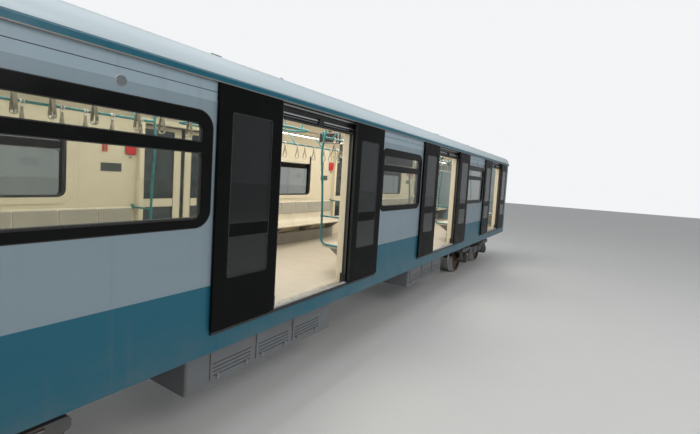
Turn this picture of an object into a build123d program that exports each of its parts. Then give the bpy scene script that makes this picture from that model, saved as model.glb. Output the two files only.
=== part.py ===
from build123d import *
import math
import os

os.makedirs("parts", exist_ok=True)

# Intermediate metro car in millimetres. +X runs along the car, +Y to its left side, +Z up.
# The origin is under the middle of the car, at the bottom of the wheel flanges.
# The right side, at -Y, stands with its doors open and the left side, at +Y, with its doors shut.
sides = {"right": -1, "left": 1}
ends = {"a": -1, "b": 1}

# Body shell
body_length = 18000
body_width = 2650
wall_thickness = 80
roof_thickness = 70
end_thickness = 60
floor_top = 1158
floor_thickness = 70
skirt_bottom = 930
cut_margin = 10
cantrail_z = 3395
roof_corner_radius = 200
roof_join_angle = 12
half_length = body_length / 2
half_width = body_width / 2
inner_y = half_width - wall_thickness
saloon_half = half_length - end_thickness
floor_bottom = floor_top - floor_thickness

# Doorways and door leaves
door_count = 4
door_end_reach = 1920
doorway_width = 1400
doorway_top = 3158
sill_thickness = 20
pillar_width = 70
pillar_depth = 85
pillar_radius = 18
leaf_width = 800
leaf_thickness = 34
leaf_travel = 724
leaf_gap = 6
leaf_clearance = 6
leaf_bottom = 1140
leaf_top = 3318
leaf_chamfer = 5
leaf_window_width = 500
leaf_window_bottom = 1600
leaf_window_top = 3090
leaf_window_radius = 22
leaf_pane_thickness = 6
leaf_pane_lap = 10
leaf_pane_clearance = 1
door_pitch = (body_length - 2 * door_end_reach) / (door_count - 1)
door_centres = [(index - (door_count - 1) / 2) * door_pitch for index in range(door_count)]
bay_centres = [(low + high) / 2 for low, high in zip(door_centres, door_centres[1:])]
sill_bottom = floor_top - sill_thickness
leaf_inner_y = half_width + leaf_clearance
leaf_outer_y = leaf_inner_y + leaf_thickness
leaf_reach = leaf_gap / 2 + leaf_travel + leaf_width

# Door track recess above each doorway, with its rails and the leaves' hangers
recess_depth = 60
recess_bottom = 3168
recess_top = 3322
track_end_gap = 10
track_back_thickness = 8
track_depth = 30
load_rail_bottom = 3212
load_rail_height = 16
top_rail_bottom = 3296
top_rail_height = 18
hanger_width = 110
hanger_inset = 120
hanger_clearance = 8
guide_rail_z = 1104
guide_rail_height = 22
guide_rail_depth = 24

# Side windows: a black surround flush with the wall, and a clear pane behind its bar
band_width = 1610
band_bottom = 2078
band_top = 3063
band_radius = 150
band_depth = 30
band_lap = 25
clear_width = 1416
clear_bottom = 2148
clear_top = 2958
clear_radius = 80
divider_bottom = 2713
divider_top = 2796
pane_depth = 12
pane_thickness = 8

# Colour strip above the doors, and the groove under it
strip_bottom = 3323
strip_height = 70
strip_depth = 32
strip_slope = 20
groove_z = 3238
groove_width = 6
groove_depth = 4


# Builds a box from its low and high places along X, Y and Z
def span_box(x_span, y_span, z_span):
    spans = [sorted(span) for span in (x_span, y_span, z_span)]
    sizes = [high - low for low, high in spans]
    middle = [(low + high) / 2 for low, high in spans]
    return Pos(*middle) * Box(*sizes)


# Grows a box by a clearance on every side
def grown_box(box, clearance):
    size = box.bounding_box()
    return span_box(*[(low - clearance, high + clearance) for low, high in zip(size.min, size.max)])


# Gives a span of the given width round a middle
def around(middle, width):
    return (middle - width / 2, middle + width / 2)


# Gives the low and high Y of a layer on one side, from its distances from the middle plane
def across(sign, first, second):
    return sorted((sign * first, sign * second))


# Builds a slab standing along X with rounded corners, through the given span of Y
def rounded_slab(x_span, z_span, radius, y_span):
    y_low, y_high = sorted(y_span)
    centre = (sum(x_span) / 2, y_high, sum(z_span) / 2)
    facing = Plane(origin=centre, x_dir=(1, 0, 0), z_dir=(0, -1, 0))
    outline = facing * RectangleRounded(x_span[1] - x_span[0], z_span[1] - z_span[0], radius)
    return extrude(outline, amount=y_high - y_low)


# Builds a cylinder along Y
def cross_cylinder(x, z, radius, y_span):
    y_low, y_high = sorted(y_span)
    return Pos(x, (y_low + y_high) / 2, z) * Rot(90, 0, 0) * Cylinder(radius, y_high - y_low)


# Builds a cylinder along X
def long_cylinder(y, z, radius, x_span):
    x_low, x_high = sorted(x_span)
    return Pos((x_low + x_high) / 2, y, z) * Rot(0, 90, 0) * Cylinder(radius, x_high - x_low)


# Builds an upright cylinder
def upright_cylinder(x, y, radius, z_span):
    return Pos(x, y, sum(z_span) / 2) * Cylinder(radius, z_span[1] - z_span[0])


# Extrudes a closed outline of (y, z) points along X
def along_car(points, x_span, sign=1):
    face = make_face(Polyline(*[(sign * y, z) for y, z in points], close=True))
    return Pos(x_span[0], 0, 0) * extrude(Plane.YZ * face, amount=x_span[1] - x_span[0])


# Extrudes a closed outline of (x, z) points along Y
def across_car(points, y_span):
    face = make_face(Polyline(*points, close=True))
    y_low, y_high = sorted(y_span)
    return Pos(0, y_high, 0) * extrude(Plane.XZ * face, amount=y_high - y_low)


# Turns a closed outline of (radius, height) points about an upright axis
def turned(points, x, y, z):
    face = Plane.XZ * make_face(Polyline(*points, close=True))
    return Pos(x, y, z) * revolve(face, Axis.Z)


# Puts separate solids of one kind into one node
def grouped(solids):
    return Compound(children=[solid for piece in solids for solid in piece.solids()])


# Gives a piece made for the +X end, or its mirror image at the -X end
def at_end(piece, sign):
    return piece if sign > 0 else mirror(piece, about=Plane.YZ)


# Gives the roof's arcs, inset from the outside, from the right cantrail to the left one
def roof_curve(inset):
    angle = math.radians(roof_join_angle)
    mid_angle = (angle + math.pi / 2) / 2
    corner_y = half_width - roof_corner_radius
    corner = roof_corner_radius - inset
    crown_radius = roof_corner_radius + corner_y / math.sin(angle)
    crown_z = cantrail_z - corner_y / math.tan(angle) + crown_radius - inset
    join = (corner_y + corner * math.sin(angle), cantrail_z + corner * math.cos(angle))
    middle = (corner_y + corner * math.sin(mid_angle), cantrail_z + corner * math.cos(mid_angle))
    edge = (half_width - inset, cantrail_z)
    return [
        ThreePointArc((-edge[0], edge[1]), (-middle[0], middle[1]), (-join[0], join[1])),
        ThreePointArc((-join[0], join[1]), (0, crown_z), join),
        ThreePointArc(join, middle, edge),
    ]


# Height of the roof's outside at a distance from the middle, on its crown
def crown_height(y):
    angle = math.radians(roof_join_angle)
    corner_y = half_width - roof_corner_radius
    crown_radius = roof_corner_radius + corner_y / math.sin(angle)
    return cantrail_z - corner_y / math.tan(angle) + math.sqrt(crown_radius ** 2 - y ** 2)


# Sole panels below the doorways
def sole_panels():
    return grouped(span_box((-saloon_half, saloon_half), across(sign, inner_y, half_width),
                            (skirt_bottom, sill_bottom)) for sign in sides.values())


# One rounded pillar inside the car, from a doorway's edge along the panel
def door_pillar(sign, edge, hand):
    pillar = span_box((edge, edge + hand * pillar_width), across(sign, inner_y - pillar_depth, inner_y + 1),
                      (floor_top, doorway_top))
    upright = pillar.edges().filter_by(Axis.Z).sort_by(Axis.Y)
    return fillet(upright[:2] if sign > 0 else upright[-2:], pillar_radius)


# Side wall panels between the doorways, as thick as the whole wall, with their windows and pillars
def side_wall(sign):
    edges = [-saloon_half]
    for centre in door_centres:
        edges += around(centre, doorway_width)
    edges.append(saloon_half)
    through = across(sign, inner_y - cut_margin, half_width + cut_margin)
    panels = []
    for low, high in zip(edges[::2], edges[1::2]):
        panel = span_box((low, high), across(sign, inner_y, half_width), (sill_bottom, doorway_top))
        for centre in bay_centres:
            if low < centre < high:
                panel -= rounded_slab(around(centre, band_width), (band_bottom, band_top), band_radius,
                                      across(sign, half_width - band_depth, half_width + cut_margin))
                panel -= rounded_slab(around(centre, band_width - 2 * band_lap),
                                      (band_bottom + band_lap, band_top - band_lap),
                                      band_radius - band_lap, through)
        for edge, hand in ((low, 1), (high, -1)):
            if abs(edge) < saloon_half:
                panel += door_pillar(sign, edge, hand)
        panels.append(panel)
    return grouped(panels)


# Cantrails over the doorways and windows, with the door track recesses and the groove
def cantrails():
    rails = []
    for sign in sides.values():
        rail = span_box((-saloon_half, saloon_half), across(sign, inner_y, half_width),
                        (doorway_top, cantrail_z))
        rail -= span_box((-saloon_half, saloon_half),
                         across(sign, half_width - groove_depth, half_width + cut_margin),
                         around(groove_z, groove_width))
        for centre in door_centres:
            rail -= span_box(around(centre, 2 * leaf_reach),
                             across(sign, half_width - recess_depth, half_width + cut_margin),
                             (recess_bottom, recess_top))
        rails.append(rail)
    return grouped(rails)


# One side window's pane
def window_pane(sign, centre):
    face_y = half_width - pane_depth
    return rounded_slab(around(centre, clear_width), (clear_bottom, clear_top), clear_radius,
                        across(sign, face_y - pane_thickness, face_y))


def window_panes():
    return grouped(window_pane(sign, centre) for sign in sides.values() for centre in bay_centres)


# Black window surrounds seated in the walls, each with the bar under its top light
def window_surrounds():
    rings = []
    for sign in sides.values():
        layer = across(sign, half_width - band_depth, half_width)
        for centre in bay_centres:
            ring = rounded_slab(around(centre, band_width), (band_bottom, band_top), band_radius, layer)
            ring -= rounded_slab(around(centre, clear_width), (clear_bottom, clear_top), clear_radius,
                                 layer)
            ring += span_box(around(centre, clear_width), layer, (divider_bottom, divider_top))
            rings.append(ring - window_pane(sign, centre))
    return grouped(rings)


# Floor between the walls, and the metal sills in the doorways
def floor_deck():
    return span_box((-saloon_half, saloon_half), (-inner_y, inner_y), (floor_bottom, floor_top))


def door_sills():
    return grouped(span_box(around(centre, doorway_width), across(sign, inner_y, half_width),
                            (sill_bottom, floor_top))
                   for sign in sides.values() for centre in door_centres)


# Air conditioners in wells in the roof, each under a crowned lid with two louvred grilles and two fans
ac_length = 3400
ac_width = 1500
ac_spacing = 2 * door_pitch
ac_bottom = 3440
ac_rise = 70
ac_well_height = 400
louvre_count = 9
louvre_pitch = 90
louvre_width = 40
louvre_depth = 30
louvre_length = 1000
grille_offset = 950
fan_radius = 230
fan_spacing = 560


def ac_well(centre):
    return span_box(around(centre, ac_length), around(0, ac_width), (ac_bottom, ac_bottom + ac_well_height))


def ac_units():
    units = []
    for centre in around(0, ac_spacing):
        outline = roof_curve(-ac_rise)
        base = Line(outline[0] @ 0, outline[-1] @ 1)
        face = Plane.YZ * make_face([*outline, base])
        unit = Pos(centre - ac_length / 2, 0, 0) * extrude(face, amount=ac_length) & ac_well(centre)
        top = crown_height(0) + ac_rise
        for hand in (-1, 1):
            for index in range(louvre_count):
                x = centre + hand * grille_offset + (index - (louvre_count - 1) / 2) * louvre_pitch
                unit -= span_box(around(x, louvre_width), around(0, louvre_length),
                                 (top - louvre_depth, top + cut_margin))
        for y in around(0, fan_spacing):
            unit -= upright_cylinder(centre, y, fan_radius, (top - 2 * louvre_depth, top + cut_margin))
        units.append(unit)
    return grouped(units)


# Roof shell with the wells, and ribs along its crown
rib_places = [-420, -140, 140, 420]
rib_width = 36
rib_height = 12


def roof():
    outer = roof_curve(0)
    inner = roof_curve(roof_thickness)
    right_foot = Line(outer[0] @ 0, inner[0] @ 0)
    left_foot = Line(outer[-1] @ 1, inner[-1] @ 1)
    face = Plane.YZ * make_face([*outer, *inner, right_foot, left_foot])
    shell = Pos(-saloon_half, 0, 0) * extrude(face, amount=2 * saloon_half)
    for y in rib_places:
        top = crown_height(abs(y))
        shell += span_box((-saloon_half, saloon_half), around(y, rib_width),
                          (top - roof_thickness / 2, top + rib_height))
    for centre in around(0, ac_spacing):
        shell -= ac_well(centre)
    return shell


# A block across the gangway's passage, grown outward by the given amount
gangway_width = 1300
gangway_top = 3110
gangway_radius = 120
bellows_wall = 130
bellows_length = 260
fold_count = 6
fold_depth = 24
gangway_frame_length = 45
gangway_frame_lap = 20
tread_thickness = 8
draw_end = half_length + bellows_length + gangway_frame_length


def passage_outline(x, grow):
    low, high = floor_top - grow, gangway_top + grow
    facing = Plane(origin=(x, 0, (low + high) / 2), x_dir=(0, 1, 0), z_dir=(1, 0, 0))
    return facing * RectangleRounded(gangway_width + 2 * grow, high - low, gangway_radius + grow)


def passage_block(grow, x_low, x_high):
    return extrude(passage_outline(x_low, grow), amount=x_high - x_low)


# End walls with the gangway doorway
def end_walls():
    walls = []
    for sign in ends.values():
        edge = [Line((-half_width, cantrail_z), (-half_width, skirt_bottom)),
                Line((-half_width, skirt_bottom), (half_width, skirt_bottom)),
                Line((half_width, skirt_bottom), (half_width, cantrail_z))]
        face = Plane.YZ * make_face([*roof_curve(0), *edge])
        wall = Pos(saloon_half, 0, 0) * extrude(face, amount=end_thickness)
        wall -= passage_block(0, saloon_half - cut_margin, half_length + cut_margin)
        walls.append(at_end(wall, sign))
    return grouped(walls)


# Bellows: rings of folds round the passage, each fold rising and falling
def bellows():
    rings = []
    half_fold = bellows_length / fold_count / 2
    slope = math.degrees(math.atan(fold_depth / half_fold))
    for sign in ends.values():
        ring = None
        for index in range(fold_count):
            start = half_length + 2 * index * half_fold
            rise = extrude(passage_outline(start, bellows_wall - fold_depth), amount=half_fold,
                           taper=-slope)
            fall = extrude(passage_outline(start + half_fold, bellows_wall), amount=half_fold,
                           taper=slope)
            ring = rise + fall if ring is None else ring + rise + fall
        ring -= passage_block(0, half_length - cut_margin, draw_end)
        rings.append(at_end(ring, sign))
    return grouped(rings)


# Coupling frame on each bellows, with the plate that is walked on
def gangway_frames():
    frames = []
    start = half_length + bellows_length
    for sign in ends.values():
        frame = passage_block(bellows_wall + gangway_frame_lap, start, draw_end)
        frame -= passage_block(0, start - cut_margin, draw_end + cut_margin)
        frame += span_box((half_length, draw_end), around(0, gangway_width - 2 * gangway_radius),
                          (floor_top, floor_top + tread_thickness))
        frames.append(at_end(frame, sign))
    return grouped(frames)


# Colour strips that stand out above the doors
def cantrail_strips():
    points = [(half_width, strip_bottom), (half_width + strip_depth, strip_bottom),
              (half_width + strip_depth, strip_bottom + strip_height - strip_slope),
              (half_width, strip_bottom + strip_height)]
    return grouped(along_car(points, (-half_length, half_length), sign) for sign in sides.values())


# Door tracks in the recesses and guide rails below the leaves
def door_tracks():
    pieces = []
    back = half_width - recess_depth
    plate = back + track_back_thickness
    front = back + track_depth
    rail_top = load_rail_bottom + load_rail_height
    points = [(back, load_rail_bottom), (front, load_rail_bottom), (front, rail_top),
              (plate, rail_top), (plate, top_rail_bottom), (front, top_rail_bottom),
              (front, top_rail_bottom + top_rail_height), (back, top_rail_bottom + top_rail_height)]
    for sign in sides.values():
        for centre in door_centres:
            reach = around(centre, 2 * (leaf_reach - track_end_gap))
            pieces.append(along_car(points, reach, sign))
            pieces.append(span_box(reach, across(sign, half_width, half_width + guide_rail_depth),
                                   (guide_rail_z, guide_rail_z + guide_rail_height)))
    return grouped(pieces)


# One door leaf with its pane and hangers. "hand" is -1 for the leaf on the -X side of the doorway
def door_leaf(sign, centre, hand, is_open):
    inner_edge = leaf_gap / 2 + (leaf_travel if is_open else 0)
    middle = centre + hand * (inner_edge + leaf_width / 2)
    x_span = around(middle, leaf_width)
    leaf = span_box(x_span, across(sign, leaf_inner_y, leaf_outer_y), (leaf_bottom, leaf_top))
    outer_face = leaf.faces().sort_by(Axis.Y)[-1 if sign > 0 else 0]
    leaf = chamfer(outer_face.edges(), leaf_chamfer)
    hole = around(middle, leaf_window_width)
    leaf -= rounded_slab(hole, (leaf_window_bottom, leaf_window_top), leaf_window_radius,
                         across(sign, leaf_inner_y - 1, leaf_outer_y + 1))
    pane_y = (leaf_inner_y + leaf_outer_y) / 2
    pane = span_box(around(middle, leaf_window_width + 2 * leaf_pane_lap),
                    across(sign, *around(pane_y, leaf_pane_thickness)),
                    (leaf_window_bottom - leaf_pane_lap, leaf_window_top + leaf_pane_lap))
    leaf -= grown_box(pane, leaf_pane_clearance)
    hanger_z = (load_rail_bottom + load_rail_height + hanger_clearance,
                top_rail_bottom - hanger_clearance)
    hanger_end_y = half_width - recess_depth + track_back_thickness + hanger_clearance
    for step in (-1, 1):
        x = middle + step * (leaf_width / 2 - hanger_inset)
        leaf += span_box(around(x, hanger_width), across(sign, hanger_end_y, leaf_inner_y), hanger_z)
    return grouped([leaf, pane])


# Underframe: channel side beams with jacking pads, I-section bearers, bolsters, sills and end beams
side_beam_width = 130
beam_web = 16
bearer_bottom = 940
bearer_width = 120
bearer_web = 14
bearer_pitch = 900
bolster_width = 620
draft_sill_width = 420
end_beam_width = 240
jack_pad_offset = 420
jack_pad_length = 160
jack_pad_width = 110
jack_pad_thickness = 20
bogie_end_reach = 2700
bogie_spacing = body_length - 2 * bogie_end_reach
bogie_centres = {letter: sign * bogie_spacing / 2 for letter, sign in ends.items()}


def underframe():
    outer, inner = inner_y, inner_y - side_beam_width
    channel = [(outer, skirt_bottom), (outer, floor_bottom), (inner, floor_bottom),
               (inner, floor_bottom - beam_web), (outer - beam_web, floor_bottom - beam_web),
               (outer - beam_web, skirt_bottom + beam_web), (inner, skirt_bottom + beam_web),
               (inner, skirt_bottom)]
    frame = None
    for sign in sides.values():
        beam = along_car(channel, (-saloon_half, saloon_half), sign)
        frame = beam if frame is None else frame + beam
    reach = outer - beam_web
    half, web = bearer_width / 2, bearer_web / 2
    low, high = bearer_bottom, floor_bottom
    section = [(-half, low), (half, low), (half, low + bearer_web), (web, low + bearer_web),
               (web, high - bearer_web), (half, high - bearer_web), (half, high), (-half, high),
               (-half, high - bearer_web), (-web, high - bearer_web), (-web, low + bearer_web),
               (-half, low + bearer_web)]
    bearer_count = math.floor((bogie_spacing / 2 - bolster_width) / bearer_pitch)
    for index in range(-bearer_count, bearer_count + 1):
        frame += Pos(index * bearer_pitch, 0, 0) * across_car(section, (-reach, reach))
    for centre in bogie_centres.values():
        frame += span_box(around(centre, bolster_width), (-reach, reach), (skirt_bottom, floor_bottom))
        pad_x = centre - math.copysign(jack_pad_offset, centre)
        for sign in sides.values():
            frame += span_box(around(pad_x, jack_pad_length), across(sign, outer - jack_pad_width, outer),
                              (skirt_bottom - jack_pad_thickness, skirt_bottom + beam_web))
    for sign in ends.values():
        frame += span_box((sign * bogie_spacing / 2, sign * saloon_half), around(0, draft_sill_width),
                          (bearer_bottom, floor_bottom))
        frame += span_box((sign * (saloon_half - end_beam_width), sign * saloon_half),
                          (-reach, reach), (bearer_bottom, floor_bottom))
    return frame


# Centre pins under the bolsters
pin_radius = 60
pin_flange_radius = 150
pin_flange_thickness = 30
pin_bottom = 490
pin_clearance = 0.5


def centre_pins():
    points = [(0, pin_bottom), (pin_radius, pin_bottom),
              (pin_radius, skirt_bottom - pin_flange_thickness),
              (pin_flange_radius, skirt_bottom - pin_flange_thickness),
              (pin_flange_radius, skirt_bottom), (0, skirt_bottom)]
    return grouped(turned(points, centre, 0, 0) for centre in bogie_centres.values())


# Drawbars between cars and the brackets that they swing in
draw_z = 748
draw_pin_inset = 520
draw_pin_x = half_length - draw_pin_inset
draw_pin_radius = 40
draw_radius = 70
draw_eye_radius = 100
draw_eye_height = 170
draw_eye_clearance = 6
draw_flange_radius = 150
draw_flange_thickness = 35
draw_bolt_circle = 240
draw_bolt_radius = 11
draw_bolt_count = 8
bracket_length = 300
bracket_width = 360
bracket_wall = 48


def draft_brackets():
    brackets = []
    gap = draw_eye_height / 2 + draw_eye_clearance
    low = draw_z - gap - bracket_wall
    for sign in ends.values():
        x_span = around(draw_pin_x, bracket_length)
        bracket = span_box(x_span, around(0, bracket_width), (low, bearer_bottom))
        bracket -= span_box((x_span[0] + bracket_wall, x_span[1] + cut_margin),
                            around(0, bracket_width + 2 * cut_margin),
                            around(draw_z, 2 * gap))
        bracket += upright_cylinder(draw_pin_x, 0, draw_pin_radius, (low, draw_z + gap + cut_margin))
        brackets.append(at_end(bracket, sign))
    return grouped(brackets)


def drawbar(sign):
    bar = upright_cylinder(draw_pin_x, 0, draw_eye_radius, around(draw_z, draw_eye_height))
    bar += long_cylinder(0, draw_z, draw_radius, (draw_pin_x, draw_end))
    flange_x = (draw_end - draw_flange_thickness, draw_end)
    bar += long_cylinder(0, draw_z, draw_flange_radius, flange_x)
    for index in range(draw_bolt_count):
        angle = math.tau * index / draw_bolt_count
        bar -= long_cylinder(draw_bolt_circle / 2 * math.cos(angle),
                             draw_z + draw_bolt_circle / 2 * math.sin(angle), draw_bolt_radius,
                             (flange_x[0] - 1, flange_x[1] + 1))
    bar -= upright_cylinder(draw_pin_x, 0, draw_pin_radius + pin_clearance,
                            around(draw_z, draw_eye_height + 2 * cut_margin))
    return at_end(bar, sign)


# Equipment cases hung under the floor, with raised lids and louvres on their outer sides
equipment_end_reach = 2400
equipment_reach = bogie_spacing / 2 - equipment_end_reach
case_side_gap = 195
case_corner = 30
lid_thickness = 12
lid_margin = 60
lid_width = 560
case_louvre_height = 14
case_louvre_pitch = 40
converter_cases = [
    # low and high x as shares of the reach, side, inner y, bottom z
    (-1, -0.4, "right", -300, 430),
    (0.3, 0.8, "right", -200, 430),
]
service_cases = [
    # low and high x as shares of the reach, side, inner y, bottom z
    (0.3, 0.8, "left", 350, 460),
    (-0.25, 0.1, "left", 350, 500),
]


def equipment_cases(table, has_louvres):
    cases = []
    outer = inner_y - case_side_gap
    for low_share, high_share, side, inner, bottom in table:
        sign = sides[side]
        x_low, x_high = low_share * equipment_reach, high_share * equipment_reach
        case = span_box((x_low, x_high), across(sign, inner, outer), (bottom, bearer_bottom))
        case = fillet(case.edges().filter_by(Axis.Z), case_corner)
        lid_z = (bottom + lid_margin, bearer_bottom - lid_margin)
        count = max(1, math.floor((x_high - x_low - lid_margin) / (lid_width + lid_margin)))
        for index in range(count):
            x = (x_low + x_high) / 2 + (index - (count - 1) / 2) * (lid_width + lid_margin)
            case += span_box(around(x, lid_width), across(sign, outer - 1, outer + lid_thickness), lid_z)
            slots = math.floor((lid_z[1] - lid_z[0]) / 2 / case_louvre_pitch) if has_louvres else 0
            for slot in range(slots):
                case -= span_box(around(x, lid_width - lid_margin),
                                 across(sign, outer, outer + lid_thickness + 1),
                                 around(lid_z[0] + (slot + 1) * case_louvre_pitch, case_louvre_height))
        cases.append(case)
    return grouped(cases)


# Compressed air tanks with domed ends, hung on straps
tank_radius = 170
tank_dome = 70
tank_shoulder_radius = 120
tank_shoulder_drop = 24
tank_z = 720
tank_strap_inset = 260
tank_strap_width = 50
tank_lug_width = 90
tank_y = 700
tank_shares = [
    # low and high x as shares of the equipment's reach
    (-1, -0.64),
    (-0.6, -0.36),
]


def air_tanks():
    pieces = []
    for low_share, high_share in tank_shares:
        low, high = low_share * equipment_reach, high_share * equipment_reach
        half = (high - low) / 2
        dome = [(0, half), (tank_shoulder_radius, half - tank_shoulder_drop),
                (tank_radius, half - tank_dome)]
        outline = dome + [(radius, -z) for radius, z in reversed(dome)]
        tank = revolve(Plane.XZ * make_face(Polyline(*outline, close=True)), Axis.Z)
        tank = Pos((low + high) / 2, tank_y, tank_z) * Rot(0, 90, 0) * tank
        for x in (low + tank_strap_inset, high - tank_strap_inset):
            tank += span_box(around(x, tank_strap_width), around(tank_y, tank_lug_width),
                             (tank_z, bearer_bottom))
        pieces.append(tank)
    return grouped(pieces)


# Wheelsets: one axle and two wheels each, turned about Y
tread_radius = 420
flange_height = 28
flange_width = 22
flange_root = 14
tread_taper = 4
wheel_back_y = 680
rim_width = 135
rim_thickness = 68
web_thickness = 30
web_dish = 26
hub_radius = 125
hub_overhang = 30
axle_radius = 85
journal_radius = 65
journal_end_y = 1060
wheel_base = 2200
flange_radius = tread_radius + flange_height
axle_z = flange_radius


def wheelset(x):
    back, front = wheel_back_y, wheel_back_y + rim_width
    rim_inner = tread_radius - rim_thickness
    middle = (back + front) / 2
    outline = [
        # y, radius
        (0, 0), (0, axle_radius), (back - hub_overhang / 2, axle_radius),
        (back - hub_overhang / 2, hub_radius),
        (middle + web_dish - web_thickness / 2, hub_radius),
        (middle - web_thickness / 2, rim_inner), (back, rim_inner), (back, flange_radius),
        (back + flange_width, flange_radius), (back + flange_width + flange_root, tread_radius),
        (front, tread_radius - tread_taper), (front, rim_inner),
        (middle + web_thickness / 2, rim_inner),
        (middle + web_dish + web_thickness / 2, hub_radius),
        (front + hub_overhang, hub_radius), (front + hub_overhang, journal_radius),
        (journal_end_y, journal_radius), (journal_end_y, 0),
    ]
    half = revolve(Plane.YZ * make_face(Polyline(*outline, close=True)), Axis.Y)
    return Pos(x, 0, axle_z) * (half + mirror(half, about=Plane.XZ))


# Bogie frames: swan-neck side beams, two cross tubes and the block that takes the centre pin
beam_y = 980
beam_width = 200
beam_corner_radius = 45
beam_top = 700
beam_end_top = 760
beam_end_bottom = 650
beam_bottom = 500
beam_end_reach = 350
beam_upper_bend = 540
beam_upper_slope = 220
beam_lower_bend = 560
beam_lower_slope = 220
cross_tube_x = 280
cross_tube_z = 595
cross_tube_radius = 85
tube_stub = 18
block_length = 460
block_width = 300
block_bottom = 505
block_top = 685
motor_axle_gap = 480
motor_x = wheel_base / 2 - motor_axle_gap
motor_z = 500
motor_radius = 190
motor_span = (-420, 200)
motor_arm_width = 90
motor_arm_z = (535, 625)


def bogie_frame(centre):
    beam_end = wheel_base / 2 + beam_end_reach
    half_profile = [
        (beam_upper_bend, beam_top), (beam_upper_bend + beam_upper_slope, beam_end_top),
        (beam_end, beam_end_top), (beam_end, beam_end_bottom),
        (beam_lower_bend + beam_lower_slope, beam_end_bottom), (beam_lower_bend, beam_bottom),
    ]
    profile = half_profile + [(-x, z) for x, z in reversed(half_profile)]
    outline = make_face(Polyline(*profile, close=True))
    face = Plane.XZ * fillet(outline.vertices(), beam_corner_radius)
    frame = None
    for sign in sides.values():
        beam = Pos(centre, sign * beam_y + beam_width / 2, 0) * extrude(face, amount=beam_width)
        frame = beam if frame is None else frame + beam
    tube_end = beam_y + beam_width / 2 + tube_stub
    for hand in (-1, 1):
        frame += cross_cylinder(centre + hand * cross_tube_x, cross_tube_z, cross_tube_radius,
                                (-tube_end, tube_end))
        for y in (motor_span[0] + motor_arm_width, motor_span[1] - motor_arm_width):
            frame += span_box((centre + hand * cross_tube_x, centre + hand * motor_x),
                              around(y, motor_arm_width), motor_arm_z)
    frame += span_box(around(centre, block_length), around(0, block_width), (block_bottom, block_top))
    frame -= upright_cylinder(centre, 0, pin_radius + pin_clearance,
                              (block_bottom - cut_margin, block_top + cut_margin))
    for hand in (-1, 1):
        frame -= cross_cylinder(centre + hand * motor_x, motor_z, motor_radius,
                                (motor_span[0] - cut_margin, motor_span[1] + cut_margin))
    return frame


# Suspension: air springs under the bolster and stacked rubber springs on the axle boxes
air_spring_gap = 6
air_spring_profile = [
    # radius, share of the height
    (0, 0), (170, 0), (170, 0.1), (228, 0.34), (228, 0.6), (200, 0.84), (214, 0.88), (214, 1), (0, 1),
]
wing_reach = 290
wing_half_width = 75
wing_low = -34
wing_high = 26
spring_profile = [
    # radius, share of the height
    (0, 0), (72, 0), (72, 0.1), (56, 0.6), (66, 1), (0, 1),
]


def suspension(centre):
    pieces = []
    air_height = skirt_bottom - air_spring_gap - beam_top
    air_points = [(radius, share * air_height) for radius, share in air_spring_profile]
    spring_height = beam_end_bottom - axle_z - wing_high
    spring_points = [(radius, share * spring_height) for radius, share in spring_profile]
    for sign in sides.values():
        pieces.append(turned(air_points, centre, sign * beam_y, beam_top))
        for hand in (-1, 1):
            for step in (-1, 1):
                x = centre + hand * wheel_base / 2 + step * (wing_reach - wing_half_width)
                pieces.append(turned(spring_points, x, sign * beam_y, axle_z + wing_high))
    return grouped(pieces)


# Axle boxes: a housing round each journal, with wings that carry the springs, and a cover
box_inner_y = 872
box_outer_y = 1088
box_radius = 132
cover_radius = 100
cover_depth = 22
journal_clearance = 0.5
journal_end_gap = 4


def axle_boxes(centre):
    pieces = []
    for sign in sides.values():
        for hand in (-1, 1):
            x = centre + hand * wheel_base / 2
            box = cross_cylinder(x, axle_z, box_radius, across(sign, box_inner_y, box_outer_y))
            box += span_box(around(x, 2 * wing_reach),
                            across(sign, *around(beam_y, 2 * wing_half_width)),
                            (axle_z + wing_low, axle_z + wing_high))
            box += cross_cylinder(x, axle_z, cover_radius,
                                  across(sign, box_outer_y - 1, box_outer_y + cover_depth))
            box -= cross_cylinder(x, axle_z, journal_radius + journal_clearance,
                                  across(sign, box_inner_y - cut_margin, journal_end_y + journal_end_gap))
            pieces.append(box)
    return grouped(pieces)


# Drives: a ribbed motor and a gearbox hung on each axle
rib_step = 170
rib_thickness = 30
rib_rise = 14
shaft_radius = 60
gear_span = (235, 400)
gear_radius = 230
gear_neck_radius = 135
axle_clearance = 5


def drives(centre):
    pieces = []
    for hand in (-1, 1):
        axle_x = centre + hand * wheel_base / 2
        x = centre + hand * motor_x
        motor = cross_cylinder(x, motor_z, motor_radius - rib_rise, motor_span)
        for index in range(math.ceil((motor_span[1] - motor_span[0]) / rib_step)):
            y = motor_span[0] + index * rib_step
            motor += cross_cylinder(x, motor_z, motor_radius, (y, y + rib_thickness))
        motor += cross_cylinder(x, motor_z, shaft_radius, (motor_span[1] - 1, gear_span[0] + cut_margin))
        gear = cross_cylinder(axle_x, axle_z, gear_radius, gear_span)
        gear += cross_cylinder(x, motor_z, gear_neck_radius, gear_span)
        neck = [(x, motor_z - gear_neck_radius), (x, motor_z + gear_neck_radius),
                (axle_x, axle_z + gear_radius), (axle_x, axle_z - gear_radius)]
        gear += across_car(neck, gear_span)
        gear -= cross_cylinder(axle_x, axle_z, axle_radius + axle_clearance,
                               (gear_span[0] - cut_margin, gear_span[1] + cut_margin))
        pieces.append(motor + gear)
    return grouped(pieces)


# Tread brakes: a unit on the cross tube beside each wheel, with its shoe near the tread
brake_y = (726, 806)
shoe_thickness = 40
shoe_clearance = 5
shoe_angle = 17
brake_body_x = (330, 560)
brake_body_z = (430, 600)
brake_arm_z = (448, 500)


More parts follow.
